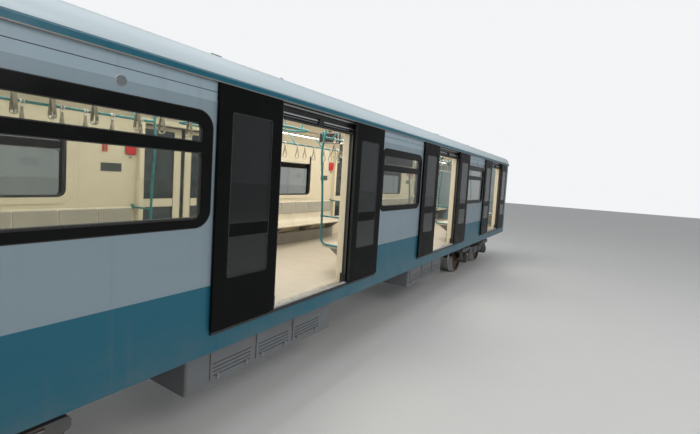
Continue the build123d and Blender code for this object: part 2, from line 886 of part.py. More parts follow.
def brakes(centre):
    pieces = []
    for sign in sides.values():
        for hand in (-1, 1):
            axle_x = wheel_base / 2
            inner = tread_radius + shoe_clearance
            outer = inner + shoe_thickness
            reach = 2 * outer * math.cos(math.radians(shoe_angle))
            rise = 2 * outer * math.sin(math.radians(shoe_angle))
            sector = make_face(Polyline((0, 0), (-reach, rise), (-reach, -rise), close=True))
            shoe_face = (Circle(outer) - Circle(inner)) & sector
            y_span = across(sign, *brake_y)
            shoe = Pos(axle_x, y_span[1], axle_z) * extrude(Plane.XZ * shoe_face,
                                                            amount=y_span[1] - y_span[0])
            unit = span_box(brake_body_x, y_span, brake_body_z)
            arm_x = (brake_body_x[1] - 1, axle_x - outer + shoe_thickness / 2)
            unit += span_box(arm_x, y_span, brake_arm_z)
            unit += shoe
            unit -= cross_cylinder(cross_tube_x, cross_tube_z, cross_tube_radius,
                                   across(sign, brake_y[0] - cut_margin, brake_y[1] + cut_margin))
            if hand < 0:
                unit = mirror(unit, about=Plane.YZ)
            pieces.append(Pos(centre, 0, 0) * unit)
    return grouped(pieces)


# Benches along the walls between the doors, and shorter ones at the ends of the car
seat_depth = 450
seat_top = 1590
seat_thickness = 45
seat_nose = 16
back_top = 2003
back_thickness = 45
back_foot = 70
back_drop = 120
bench_gap = 140
end_bench_gap = 20
end_bench_length = saloon_half - end_bench_gap - door_centres[-1] - doorway_width / 2 - bench_gap
bench_rows = [(centre, door_pitch - doorway_width - 2 * bench_gap) for centre in bay_centres]
seat_front_y = inner_y - seat_depth
bench_rows += [(sign * (saloon_half - end_bench_gap - end_bench_length / 2), end_bench_length)
               for sign in ends.values()]


def benches():
    points = [(inner_y, seat_top - back_drop), (inner_y, back_top),
              (inner_y - back_thickness, back_top), (inner_y - back_foot, seat_top),
              (seat_front_y + seat_nose, seat_top), (seat_front_y, seat_top - seat_nose),
              (seat_front_y, seat_top - seat_thickness),
              (inner_y - 2 * back_thickness, seat_top - seat_thickness)]
    return grouped(along_car(points, around(centre, length), sign)
                   for sign in sides.values() for centre, length in bench_rows)


# Heater casings under the benches, with the brackets that carry the seats
bracket_thickness = 30
seat_bracket_pitch = 900
seat_bracket_inset = 100
seat_bracket_reach = 60
heater_depth = 140
heater_height = 220


def bench_supports():
    pieces = []
    under = seat_top - seat_thickness
    heater_top = floor_top + heater_height
    arm = [(inner_y, heater_top), (inner_y, seat_top - back_drop), (inner_y - 2 * back_thickness, under),
           (seat_front_y + seat_bracket_reach, under), (inner_y - heater_depth, heater_top)]
    for sign in sides.values():
        for centre, length in bench_rows:
            row = span_box(around(centre, length), across(sign, inner_y - heater_depth, inner_y),
                           (floor_top, heater_top))
            count = max(2, round(length / seat_bracket_pitch) + 1)
            for index in range(count):
                step = (length - 2 * seat_bracket_inset) * (index / (count - 1) - 0.5)
                row += along_car(arm, around(centre + step, bracket_thickness), sign)
            pieces.append(row)
    return grouped(pieces)


# Ceiling lining: flat in the middle, with coves that slope down to the walls
ceiling_z = 3345
cove_width = 285
ceiling_flat = inner_y - cove_width
cove_z = 3190
lining_thickness = 16


def ceiling():
    lower = [(-inner_y, cove_z), (-ceiling_flat, ceiling_z), (ceiling_flat, ceiling_z),
             (inner_y, cove_z)]
    upper = [(y, z + lining_thickness) for y, z in reversed(lower)]
    return along_car(lower + upper, (-saloon_half, saloon_half))


# Light strips under the ceiling, one near each side
light_edge_gap = 20
light_outer_y = ceiling_flat - light_edge_gap
light_width = 110
light_drop = 14
light_end_gap = 300


def light_strips():
    reach = saloon_half - light_end_gap
    return grouped(span_box((-reach, reach), across(sign, light_outer_y - light_width, light_outer_y),
                            (ceiling_z - light_drop, ceiling_z)) for sign in sides.values())


# Grab poles at the bench ends, bent to the wall at the bottom, each with a rung to the wall.
# The tubes that passengers hold have eight flats, so that their many bends stay light.
tube_sides = 8
pole_radius = 17
pole_offset = 28
pole_foot_z = 1590
pole_bend = 130
rung_radius = 14
rung_z = 2000


def tube(path, radius):
    return sweep(Plane(origin=path @ 0, z_dir=path % 0) * RegularPolygon(radius, tube_sides), path=path)


def grab_poles():
    pieces = []
    y = seat_front_y - pole_radius / 2
    for sign in sides.values():
        for centre, length in bench_rows:
            for hand in (-1, 1):
                x = centre + hand * (length / 2 + pole_offset)
                if abs(x) > saloon_half - end_bench_gap:
                    continue
                path = FilletPolyline((x, sign * inner_y, pole_foot_z), (x, sign * y, pole_foot_z),
                                      (x, sign * y, ceiling_z), radius=pole_bend)
                rung = Line((x, sign * y, rung_z), (x, sign * inner_y, rung_z))
                pieces.append(tube(path, pole_radius) + tube(rung, rung_radius))
    return grouped(pieces)


# Overhead rails: one over each bench's front edge on sloping hangers, and rings between the doors
rail_inset = 75
rail_y = seat_front_y - rail_inset
rail_z = 3135
rail_radius = 16
rail_hanger_radius = 12
rail_hanger_pitch = 850
ring_inset = 195
ring_y = seat_front_y - ring_inset
ring_z = 3175
ring_length = 1040
ring_width = 300
ring_radius = 14
ring_corner = 110
ring_hanger_inset = 200


def overhead_rails():
    pieces = []
    for sign in sides.values():
        for centre, length in bench_rows[:len(bay_centres)]:
            ends_x = around(centre, length)
            rail = tube(Line(*[(x, sign * rail_y, rail_z) for x in ends_x]), rail_radius)
            count = math.floor(length / rail_hanger_pitch) + 1
            for index in range(count):
                x = centre + (index - (count - 1) / 2) * rail_hanger_pitch
                path = Line((x, sign * rail_y, rail_z),
                            (x, sign * (light_outer_y - light_width / 2), ceiling_z))
                rail += tube(path, rail_hanger_radius)
            pieces.append(rail & span_box((-half_length, half_length), (-inner_y, inner_y),
                                          (0, ceiling_z - light_drop)))
        for centre in door_centres:
            outline = Pos(centre, sign * ring_y, ring_z) * RectangleRounded(ring_length, ring_width,
                                                                            ring_corner)
            ring = tube(outline.face().outer_wire(), ring_radius)
            for x in around(centre, ring_length - 2 * ring_hanger_inset):
                for y in around(sign * ring_y, ring_width):
                    ring += tube(Line((x, y, ring_z), (x, y, ceiling_z)), rail_hanger_radius)
            pieces.append(ring)
    return grouped(pieces)


# Displays: one behind the middle window of each side and two under the ceiling
display_offset = 115
display_width = 1090
display_bottom = 2818
display_top = 3018
display_depth = 45
notice_x = 900
notice_y = 400
notice_width = 380
notice_bottom = 3110
notice_height = 165
notice_depth = 70
notice_stem_width = 40


def displays():
    pieces = []
    face_y = half_width - band_depth
    for sign in sides.values():
        pieces.append(span_box(around(bay_centres[1] + sign * display_offset, display_width),
                               across(sign, face_y - display_depth, face_y),
                               (display_bottom, display_top)))
        notice_top = notice_bottom + notice_height
        x = sign * notice_x
        notice = span_box(around(x, notice_depth), around(sign * notice_y, notice_width),
                          (notice_bottom, notice_top))
        notice += span_box(around(x, notice_stem_width), around(sign * notice_y, notice_stem_width),
                           (notice_top, ceiling_z))
        pieces.append(notice)
    return grouped(pieces)


parts = {
    "floor_deck": floor_deck(),
    "door_sills": door_sills(),
    "underframe": underframe(),
    "centre_pins": centre_pins(),
    "draft_brackets": draft_brackets(),
    "sole_panels": sole_panels(),
    "cantrails": cantrails(),
    "cantrail_strips": cantrail_strips(),
    "roof": roof(),
    "ac_units": ac_units(),
    "end_walls": end_walls(),
    "bellows": bellows(),
    "gangway_frames": gangway_frames(),
    "window_surrounds": window_surrounds(),
    "window_panes": window_panes(),
    "door_tracks": door_tracks(),
    "benches": benches(),
    "bench_supports": bench_supports(),
    "ceiling": ceiling(),
    "light_strips": light_strips(),
    "grab_poles": grab_poles(),
    "overhead_rails": overhead_rails(),
    "displays": displays(),
    "converter_cases": equipment_cases(converter_cases, True),
    "service_cases": equipment_cases(service_cases, False),
    "air_tanks": air_tanks(),
}
for side, sign in sides.items():
    parts[f"side_wall_{side}"] = side_wall(sign)
    for number, centre in enumerate(door_centres, start=1):
        for letter, hand in ends.items():
            parts[f"leaf_{side}_{number}{letter}"] = door_leaf(sign, centre, hand, side == "right")
for letter, centre in bogie_centres.items():
    parts[f"bogie_frame_{letter}"] = bogie_frame(centre)
    parts[f"suspension_{letter}"] = suspension(centre)
    parts[f"axle_boxes_{letter}"] = axle_boxes(centre)
    parts[f"drives_{letter}"] = drives(centre)
    parts[f"brakes_{letter}"] = brakes(centre)
    parts[f"drawbar_{letter}"] = drawbar(ends[letter])
    for number, x in enumerate(around(centre, wheel_base), start=1):
        parts[f"wheelset_{letter}{number}"] = wheelset(x)

for name, shape in parts.items():
    export_step(shape, f"parts/{name}.step")
    print(name, round(shape.volume / 1e6), "litres")
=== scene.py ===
import bpy
import bmesh
import math
from itertools import product
from mathutils import Matrix, Vector


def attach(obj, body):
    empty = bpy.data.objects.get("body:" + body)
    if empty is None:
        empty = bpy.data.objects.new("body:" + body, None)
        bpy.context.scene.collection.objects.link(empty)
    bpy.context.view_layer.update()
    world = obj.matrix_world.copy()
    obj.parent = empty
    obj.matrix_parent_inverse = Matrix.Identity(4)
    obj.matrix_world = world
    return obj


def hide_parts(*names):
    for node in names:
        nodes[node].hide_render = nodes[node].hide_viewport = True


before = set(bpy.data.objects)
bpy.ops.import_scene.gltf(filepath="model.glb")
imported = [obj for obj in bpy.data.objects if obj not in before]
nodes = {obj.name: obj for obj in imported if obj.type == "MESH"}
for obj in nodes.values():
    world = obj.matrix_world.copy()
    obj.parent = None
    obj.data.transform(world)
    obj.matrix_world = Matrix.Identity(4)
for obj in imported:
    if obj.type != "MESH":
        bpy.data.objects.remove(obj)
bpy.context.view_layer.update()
scene = bpy.context.scene
sideNames = {"right": -1, "left": 1}
endNames = {"a": -1, "b": 1}
both = (-1, 1)  # both sides, both ends, or both halves of a pair
print("frame loaded:", len(nodes), "nodes")

# Camera, solved from the photograph's own lines
view = {"place": (-6.15, -4.145, 2.583), "yaw": 32.067, "pitch": 3.411, "roll": -3.455,
        "focal": 393.43, "imageWidth": 700, "imageHeight": 434, "axisRow": 200.5, "sensor": 36.0,
        "clip": (0.05, 200)}


def addCamera():
    yaw, pitch, roll = (math.radians(view[key]) for key in ("yaw", "pitch", "roll"))
    ahead = Vector((math.cos(yaw), math.sin(yaw), 0))
    right = Vector((math.sin(yaw), -math.cos(yaw), 0))
    down = Vector((0, 0, -1))
    forward = math.cos(pitch) * ahead + math.sin(pitch) * down
    below = -math.sin(pitch) * ahead + math.cos(pitch) * down
    across = math.cos(roll) * right + math.sin(roll) * below
    lower = -math.sin(roll) * right + math.cos(roll) * below
    lens = bpy.data.cameras.new("view")
    lens.sensor_width = view["sensor"]
    lens.lens = view["focal"] * view["sensor"] / view["imageWidth"]
    lens.shift_y = (view["axisRow"] - view["imageHeight"] / 2) / view["imageWidth"]
    lens.clip_start, lens.clip_end = view["clip"]
    camera = bpy.data.objects.new("view", lens)
    matrix = Matrix((across, -lower, -forward)).transposed().to_4x4()
    matrix.translation = Vector(view["place"])
    camera.matrix_world = matrix
    scene.collection.objects.link(camera)
    scene.camera = camera


addCamera()
print("camera placed")

# Shader helpers; every colour is linear, and every value is a number or a node's output
finishes = {}


def startShader(name):
    material = bpy.data.materials.new(name)
    material.use_nodes = True
    finishes[name] = material
    tree = material.node_tree
    coords = tree.nodes.new("ShaderNodeTexCoord")
    return {"tree": tree, "bsdf": tree.nodes["Principled BSDF"], "place": coords.outputs["Object"]}


def setInputs(sh, node, values):
    for key, value in values.items():
        if isinstance(value, bpy.types.NodeSocket):
            sh["tree"].links.new(value, node.inputs[key])
        else:
            node.inputs[key].default_value = value


def addNode(sh, kind, values, **settings):
    node = sh["tree"].nodes.new(kind)
    for key, value in settings.items():
        setattr(node, key, value)
    setInputs(sh, node, values)
    return node


def spread(sh, value, low, high, newLow=0.0, newHigh=1.0):
    return addNode(sh, "ShaderNodeMapRange", {"Value": value, "From Min": low, "From Max": high,
                                              "To Min": newLow, "To Max": newHigh}).outputs[0]


def noise(sh, scale, detail, stretch=None, rough=0.55, span=None):
    where = sh["place"]
    if stretch:
        where = addNode(sh, "ShaderNodeMapping", {"Vector": where, "Scale": stretch}).outputs[0]
    value = addNode(sh, "ShaderNodeTexNoise", {"Vector": where, "Scale": scale, "Detail": detail,
                                               "Roughness": rough}).outputs["Fac"]
    return spread(sh, value, *span) if span else value


def cells(sh, scale, randomness, span):
    value = addNode(sh, "ShaderNodeTexVoronoi", {"Vector": sh["place"], "Scale": scale,
                                                 "Randomness": randomness}).outputs["Distance"]
    return spread(sh, value, *span)


def calc(sh, operation, first, second=0.0):
    return addNode(sh, "ShaderNodeMath", {0: first, 1: second}, operation=operation).outputs[0]


def times(sh, first, second):
    return calc(sh, "MULTIPLY", first, second)


def inverse(sh, value):
    return calc(sh, "SUBTRACT", 1.0, value)


def mixed(sh, share, first, second):
    colours = [(*colour, 1) if isinstance(colour, tuple) else colour for colour in (first, second)]
    return addNode(sh, "ShaderNodeMix", {0: share, 6: colours[0], 7: colours[1]},
                   data_type="RGBA").outputs[2]


def shade(colour, factor):
    return tuple(min(1.0, channel * factor) for channel in colour)


def varied(sh, colour, low, high, scale, detail=4, stretch=None, top=0.7):
    patches = noise(sh, scale, detail, stretch, span=(0.3, top))
    return mixed(sh, patches, shade(colour, low), shade(colour, high))


def axisValue(sh, axis):
    return addNode(sh, "ShaderNodeSeparateXYZ", {0: sh["place"]}).outputs["XYZ".index(axis)]


def awayFromMiddle(sh):
    return calc(sh, "ABSOLUTE", axisValue(sh, "Y"))


def above(sh, value, limit, soft=0.0008):
    return spread(sh, value, limit - soft, limit + soft)


def below(sh, value, limit):
    return inverse(sh, above(sh, value, limit))


def lineAt(sh, value, place, width):
    away = calc(sh, "ABSOLUTE", calc(sh, "SUBTRACT", value, place))
    return spread(sh, away, width * 0.4, width * 0.6, 1.0, 0.0)


def linesEvery(sh, value, pitch, width, offset=0.0):
    moved = calc(sh, "ADD", value, offset + pitch * 0.5)
    near = calc(sh, "PINGPONG", moved, pitch * 0.5)
    return spread(sh, near, pitch * 0.5 - width * 0.6, pitch * 0.5 - width * 0.4)


def closeShader(sh, colour, rough, roughSpread=0.08, roughScale=6.0, bump=None, bumpDepth=0.0005,
                metal=0.0, coat=0.0, specular=0.5):
    if not isinstance(rough, bpy.types.NodeSocket):
        rough = noise(sh, roughScale, 4, span=(0.3, 0.7, rough - roughSpread, rough + roughSpread))
    values = {"Base Color": colour, "Roughness": rough, "Metallic": metal, "Coat Weight": coat,
              "Coat Roughness": 0.06, "Specular IOR Level": specular}
    if bump is not None:
        values["Normal"] = addNode(sh, "ShaderNodeBump", {"Height": bump, "Strength": 1.0,
                                                          "Distance": bumpDepth}).outputs[0]
    setInputs(sh, sh["bsdf"], values)


def plainSurface(name, colour, rough, vary, varyScale, grain, grainDepth, dirt=None, dirtShare=0.3,
                 stretch=None, **rest):
    sh = startShader(name)
    tone = varied(sh, colour, 1 - vary, 1 + vary, varyScale)
    fine = noise(sh, grain, 2, stretch)
    tone = mixed(sh, spread(sh, fine, 0.35, 0.65, 0.0, 0.35), tone, shade(colour, 1 - vary * 1.5))
    if dirt:
        tone = mixed(sh, noise(sh, 5.0, 6, None, 0.7, (0.48, 0.75, 0.0, dirtShare)), tone, dirt)
    closeShader(sh, tone, rough, bump=fine, bumpDepth=grainDepth, **rest)


# Finishes; heights and distances from the car's middle tell where a colour ends
# The recess colour is near black painted shade for the door recess under the cantrail strip
paint = {"panel": (0.240, 0.312, 0.362), "roofBand": (0.70, 0.82, 0.88), "teal": (0.005, 0.114, 0.175),
         "cream": (0.74, 0.67, 0.52), "dust": (0.20, 0.18, 0.15), "seam": (0.06, 0.08, 0.10),
         "creamSeam": (0.25, 0.22, 0.17), "recess": (0.022, 0.023, 0.025),
         "tealTop": 1.553, "bandBottom": 3.155, "edgeTop": 3.331, "dusty": (0.93, 1.35),
         "recessHeights": (3.1665, 3.3235), "roofUnder": 3.3952, "roofCrown": (3.50, 3.68),
         "floorUnder": 1.150, "guideTop": 1.20, "panelPitch": 1.18, "innerFace": 1.2475,
         "railFace": 1.290, "revealFace": 1.318, "outerFace": 1.322, "leafInner": 1.3325}


def bodyPaint():
    sh = startShader("bodyPaint")
    x, z, away = axisValue(sh, "X"), axisValue(sh, "Z"), awayFromMiddle(sh)
    # Above bandBottom the panel is painted 1.38 times lighter: partly the band's own paler tone, partly a
    # painted highlight of light falling from above on the upper side
    tone = mixed(sh, above(sh, z, paint["bandBottom"]),
                 varied(sh, paint["panel"], 0.93, 1.06, 0.7, 3, (0.4, 1, 1.6)), shade(paint["panel"], 1.38))
    tone = mixed(sh, above(sh, z, paint["tealTop"]), paint["teal"], tone)
    dust = noise(sh, 3.0, 6, (0.5, 1, 1), 0.7, (0.35, 0.75, 0.0, 0.32))
    tone = mixed(sh, times(sh, dust, spread(sh, z, *paint["dusty"], 1.0, 0.0)), tone, paint["dust"])
    streaks = noise(sh, 9.0, 3, (1.0, 1.0, 0.06), span=(0.55, 0.8, 0.0, 0.16))
    tone = mixed(sh, streaks, tone, paint["dust"])
    seams = calc(sh, "MAXIMUM", lineAt(sh, z, paint["bandBottom"], 0.002),
                 linesEvery(sh, x, paint["panelPitch"], 0.002))
    outside = above(sh, away, paint["outerFace"])
    tone = mixed(sh, times(sh, seams, times(sh, outside, 0.22)), tone, paint["seam"])
    cream = varied(sh, paint["cream"], 1.0, 0.93, 14.0, top=0.8)
    cream = mixed(sh, times(sh, linesEvery(sh, x, paint["panelPitch"], 0.003, 0.30), 0.45), cream,
                  paint["creamSeam"])
    tone = mixed(sh, below(sh, away, paint["revealFace"]), tone, cream)
    # The faces of the door recess under the cantrail strip are painted near black: painted shade in the
    # recess
    low, high = paint["recessHeights"]
    recess = times(sh, above(sh, z, low), below(sh, z, high))
    within = times(sh, inverse(sh, outside), above(sh, away, paint["innerFace"]))
    tone = mixed(sh, times(sh, recess, within), tone, paint["recess"])
    closeShader(sh, tone, 0.34, 0.06, 4.0, noise(sh, 260.0, 1), 0.00012, coat=0.06, specular=0.38)


def leafPaint():
    sh = startShader("leafPaint")
    black = mixed(sh, noise(sh, 1.2, 4, span=(0.3, 0.7)), (0.0036, 0.0041, 0.0043),
                  (0.0052, 0.0058, 0.0060))
    film = noise(sh, 5.0, 6, None, 0.7, (0.48, 0.75, 0.0, 0.2))
    black = mixed(sh, film, black, (0.016, 0.017, 0.017))
    outside = above(sh, awayFromMiddle(sh), paint["leafInner"])
    tone = mixed(sh, outside, varied(sh, paint["cream"], 1.0, 0.93, 1.2), black)
    closeShader(sh, tone, 0.34, bump=noise(sh, 200.0, 2), bumpDepth=0.00004, specular=0.06)


def stripPaint():
    sh = startShader("stripPaint")
    grime = noise(sh, 5.0, 6, None, 0.7, (0.48, 0.75, 0.0, 0.08))
    teal = mixed(sh, grime, varied(sh, paint["teal"], 0.92, 1.08, 1.5), paint["dust"])
    edge = below(sh, axisValue(sh, "Z"), paint["edgeTop"])
    closeShader(sh, mixed(sh, edge, teal, (0.26, 0.255, 0.23)), 0.30, bump=noise(sh, 240.0, 2),
                bumpDepth=0.0001, coat=0.05, specular=0.38)


def roofPaint():
    sh = startShader("roofPaint")
    z = axisValue(sh, "Z")
    soot = noise(sh, 4.0, 6, (0.25, 1, 1), 0.7, (0.35, 0.75, 0.1, 0.55))
    share = times(sh, spread(sh, z, *paint["roofCrown"]), soot)
    tone = mixed(sh, share, varied(sh, paint["roofBand"], 0.92, 1.05, 0.9, 5, (0.3, 1, 1)),
                 (0.17, 0.17, 0.165))
    tone = mixed(sh, below(sh, z, paint["roofUnder"]), tone, paint["cream"])
    closeShader(sh, tone, 0.38, 0.08, 3.0, noise(sh, 180.0, 2), 0.00015, coat=0.2)


def floorCover():
    sh = startShader("floorCover")
    tone = varied(sh, (0.55, 0.50, 0.42), 0.95, 1.05, 1.2)
    tone = mixed(sh, cells(sh, 260.0, 1.0, (0.10, 0.22, 0.45, 0.0)), tone, (0.20, 0.17, 0.13))
    specks = noise(sh, 330.0, 1)
    tone = mixed(sh, spread(sh, specks, 0.66, 0.74, 0.0, 0.5), tone, (0.86, 0.82, 0.74))
    scuffs = noise(sh, 7.0, 6, (1, 0.35, 1), 0.75, (0.55, 0.85, 0.0, 0.22))
    tone = mixed(sh, scuffs, tone, (0.25, 0.22, 0.18))
    seams = calc(sh, "MAXIMUM", linesEvery(sh, axisValue(sh, "X"), 2.36, 0.004, 1.18),
                 lineAt(sh, axisValue(sh, "Y"), 0.0, 0.004))
    tone = mixed(sh, times(sh, seams, 0.35), tone, (0.18, 0.16, 0.13))
    under = below(sh, axisValue(sh, "Z"), paint["floorUnder"])
    closeShader(sh, mixed(sh, under, tone, (0.035, 0.037, 0.04)), 0.42, 0.10, 5.0, specks, 0.0002,
                coat=0.15)


def lampLens():
    sh = startShader("lampLens")
    x = axisValue(sh, "X")
    joints = linesEvery(sh, x, 1.44, 0.010)
    closeShader(sh, mixed(sh, joints, (0.93, 0.93, 0.90), (0.35, 0.35, 0.34)), 0.5, 0.05,
                bump=linesEvery(sh, x, 0.012, 0.006), bumpDepth=0.0006)
    glow = mixed(sh, joints, (1.0, 0.97, 0.90), (0.1, 0.1, 0.1))
    setInputs(sh, sh["bsdf"], {"Emission Color": glow, "Emission Strength": 7.0})


def sillMetal():
    sh = startShader("sillMetal")
    colour = (0.78, 0.77, 0.74)
    ribs = linesEvery(sh, axisValue(sh, "Y"), 0.010, 0.005)
    worn = noise(sh, 12.0, 5, (0.3, 1, 1), 0.7, (0.3, 0.75))
    tone = mixed(sh, worn, shade(colour, 0.8), shade(colour, 1.1))
    tone = mixed(sh, times(sh, ribs, 0.6), tone, shade(colour, 0.35))
    closeShader(sh, tone, 0.34, 0.1, 10.0, inverse(sh, ribs), 0.0012, metal=0.9)


def ledMatrix():
    sh = startShader("ledMatrix")
    dots = cells(sh, 125.0, 0.0, (0.26, 0.34, 1.0, 0.0))
    face = mixed(sh, noise(sh, 5.0, 4, span=(0.3, 0.7)), (0.0055, 0.0055, 0.006), (0.010, 0.010, 0.011))
    tone = mixed(sh, times(sh, dots, 0.8), face, (0.045, 0.024, 0.012))
    closeShader(sh, tone, 0.22, 0.05, bump=dots, bumpDepth=0.0003, specular=0.3)


def trackSteel():
    sh = startShader("trackSteel")
    worn = noise(sh, 40.0, 4, (0.03, 1, 1))
    bright = mixed(sh, spread(sh, worn, 0.3, 0.7), (0.48, 0.49, 0.50), (0.70, 0.70, 0.69))
    # Off the rail faces the steel is near black: the back plate's own dark paint darkened further as painted
    # shade in the track recess, and the guide rail below guideTop painted dark as the shade line under the
    # sill
    darkSteelAndShade = mixed(sh, noise(sh, 9.0, 5, span=(0.35, 0.7)), (0.005, 0.0055, 0.006), (0.018, 0.016, 0.014))
    onRail = times(sh, above(sh, awayFromMiddle(sh), paint["railFace"]),
                   above(sh, axisValue(sh, "Z"), paint["guideTop"]))
    closeShader(sh, mixed(sh, onRail, darkSteelAndShade, bright), 0.34, 0.1, 20.0, worn, 0.0001,
                metal=times(sh, onRail, 0.9))


def glassPane(name, tint):
    sh = startShader(name)
    smear = noise(sh, 8.0, 5, span=(0.4, 0.8, 0.015, 0.065))
    setInputs(sh, sh["bsdf"], {"Base Color": varied(sh, tint, 1.0, 0.95, 3.0, 4, (1, 1, 0.4), 0.8),
                               "Roughness": smear, "Transmission Weight": 1.0, "IOR": 1.45})


def perforated(name, colour):
    sh = startShader(name)
    holes = cells(sh, 70.0, 0.0, (0.22, 0.30, 1.0, 0.0))
    tone = mixed(sh, holes, varied(sh, colour, 0.92, 1.06, 4.0), (0.01, 0.01, 0.01))
    closeShader(sh, tone, 0.42, 0.08, bump=inverse(sh, holes), bumpDepth=0.002)


bogie = {"centre": 6.3, "wheelBase": 2.2, "axleZ": 0.448, "treadRadius": 0.4148,
         "treadY": (0.683, 0.688), "journalRadius": 0.125}


def wheelSteel(name, axleX):
    sh = startShader(name)
    squares = [calc(sh, "POWER", calc(sh, "SUBTRACT", axisValue(sh, axis), place), 2.0)
               for axis, place in (("X", axleX), ("Z", bogie["axleZ"]))]
    radius = calc(sh, "SQRT", calc(sh, "ADD", *squares))
    rust = noise(sh, 22.0, 6, rough=0.7)
    web = mixed(sh, spread(sh, rust, 0.35, 0.7), (0.070, 0.048, 0.034), (0.17, 0.095, 0.055))
    tread = mixed(sh, noise(sh, 900.0, 1, span=(0.3, 0.7)), (0.52, 0.52, 0.53), (0.68, 0.68, 0.68))
    isTread = times(sh, above(sh, radius, bogie["treadRadius"]),
                    spread(sh, awayFromMiddle(sh), *bogie["treadY"]))
    wipe = times(sh, below(sh, radius, bogie["journalRadius"]), 0.6)
    tone = mixed(sh, wipe, mixed(sh, isTread, web, tread), (0.16, 0.14, 0.12))
    closeShader(sh, tone, spread(sh, isTread, 0.0, 1.0, 0.62, 0.24), bump=rust, bumpDepth=0.0006,
                metal=isTread)


brushedDirt = (0.12, 0.11, 0.10)
caseDirt = (0.16, 0.135, 0.11)
surfaces = {  # colour, roughness, tone's spread and scale, grain's scale and depth, dirt and its share
    # This near black is painted shade for the strips round the doorway, the gap by the open leaf
    "gapShadeBlack": ((0.0042, 0.0048, 0.0050), 0.30, 0.2, 1.2, 200, 0.00004, (0.016, 0.017, 0.017), 0.2,
                  {"specular": 0.13}),
    "bandBlack": ((0.0038, 0.0042, 0.0044), 0.22, 0.2, 1.2, 160, 0.00003, (0.015, 0.015, 0.015), 0.2,
                  {"specular": 0.13}),
    "sealRubber": ((0.018, 0.018, 0.019), 0.62, 0.2, 8, 300, 0.0002, None, 0, {}),
    "bellowsRubber": ((0.040, 0.041, 0.044), 0.68, 0.2, 3, 380, 0.0004, (0.14, 0.13, 0.12), 0.45, {}),
    "springRubber": ((0.016, 0.016, 0.017), 0.7, 0.2, 8, 260, 0.0004, (0.10, 0.085, 0.07), 0.4, {}),
    "creamPanel": (paint["cream"], 0.38, 0.04, 2, 150, 0.00015, (0.52, 0.46, 0.35), 0.2, {"coat": 0.1}),
    "creamSeat": ((0.66, 0.60, 0.48), 0.34, 0.05, 3, 200, 0.00012, (0.36, 0.31, 0.24), 0.22,
                  {"coat": 0.2}),
    "ceilingLining": ((0.78, 0.73, 0.62), 0.45, 0.03, 1.5, 160, 0.00015, (0.55, 0.50, 0.42), 0.15, {}),
    "greyBack": ((0.42, 0.40, 0.35), 0.55, 0.08, 4, 600, 0.0005, (0.20, 0.19, 0.17), 0.2, {}),
    "greyPlastic": ((0.22, 0.22, 0.22), 0.45, 0.06, 6, 250, 0.0002, None, 0, {}),
    "paleClip": ((0.66, 0.64, 0.58), 0.4, 0.05, 8, 250, 0.00015, None, 0, {}),
    "webbing": ((0.27, 0.245, 0.19), 0.75, 0.2, 30, 900, 0.0006, None, 0, {"stretch": (1, 1, 0.25)}),
    "poleTeal": ((0.005, 0.175, 0.195), 0.30, 0.06, 3, 220, 0.0001, (0.05, 0.13, 0.13), 0.2,
                 {"coat": 0.25}),
    "redGloss": ((0.58, 0.012, 0.012), 0.28, 0.08, 6, 200, 0.0001, None, 0, {"coat": 0.4}),
    "screenBlack": ((0.008, 0.009, 0.010), 0.14, 0.3, 2, 500, 0.00004, None, 0, {"coat": 0.6}),
    "amberLens": ((0.75, 0.30, 0.02), 0.2, 0.1, 20, 300, 0.0001, None, 0, {"coat": 0.4}),
    "redLens": ((0.42, 0.010, 0.010), 0.18, 0.1, 20, 300, 0.0001, None, 0, {"coat": 0.5}),
    "plateGrey": ((0.060, 0.075, 0.070), 0.35, 0.1, 6, 260, 0.00005, (0.16, 0.15, 0.13), 0.15, {}),
    "trackMetal": ((0.50, 0.51, 0.52), 0.30, 0.08, 3, 420, 0.00006, brushedDirt, 0.18,
                   {"stretch": (0.02, 1, 1), "metal": 1.0}),
    "frameMetal": ((0.40, 0.41, 0.42), 0.38, 0.08, 3, 420, 0.00006, brushedDirt, 0.18,
                   {"stretch": (1, 1, 0.02), "metal": 1.0}),
    "edgeMetal": ((0.070, 0.068, 0.064), 0.42, 0.1, 3, 300, 0.00006, brushedDirt, 0.2,
                  {"stretch": (1, 1, 0.02), "metal": 0.2}),
    "boltSteel": ((0.36, 0.35, 0.34), 0.42, 0.2, 60, 300, 0.0001, (0.16, 0.11, 0.08), 0.4, {"metal": 0.9}),
    "underPaint": ((0.055, 0.060, 0.065), 0.58, 0.12, 2, 140, 0.0003, (0.15, 0.125, 0.10), 0.6, {}),
    "bogiePaint": ((0.085, 0.092, 0.10), 0.52, 0.12, 3, 110, 0.0005, (0.17, 0.12, 0.085), 0.6, {}),
    "castIron": ((0.075, 0.072, 0.070), 0.66, 0.2, 6, 90, 0.0012, (0.15, 0.085, 0.05), 0.55, {}),
    "casePaint": ((0.17, 0.185, 0.20), 0.48, 0.08, 2, 160, 0.0003, caseDirt, 0.5, {}),
    "tankPaint": ((0.13, 0.14, 0.15), 0.42, 0.1, 3, 150, 0.0002, caseDirt, 0.45, {}),
    "endPaint": (shade(paint["panel"], 0.9), 0.40, 0.06, 1.5, 160, 0.0002, (0.16, 0.15, 0.14), 0.35, {}),
    "acPaint": (shade(paint["roofBand"], 0.88), 0.42, 0.06, 1.5, 150, 0.0003, (0.17, 0.165, 0.16), 0.45,
                {}),
    "studioFloor": ((0.80, 0.80, 0.79), 0.7, 0.01, 1, 20, 0.0001, None, 0, {}),
}
for name, (*row, rest) in surfaces.items():
    plainSurface(name, *row, **rest)
for makeFinish in (bodyPaint, leafPaint, stripPaint, roofPaint, floorCover, lampLens, sillMetal,
                   ledMatrix, trackSteel):
    makeFinish()
glassPane("clearGlass", (0.66, 0.70, 0.67))
glassPane("leafGlass", (0.33, 0.37, 0.37))
perforated("heaterSteel", (0.30, 0.29, 0.27))
perforated("speakerGrille", (0.17, 0.20, 0.22))
print("finishes made:", len(finishes))

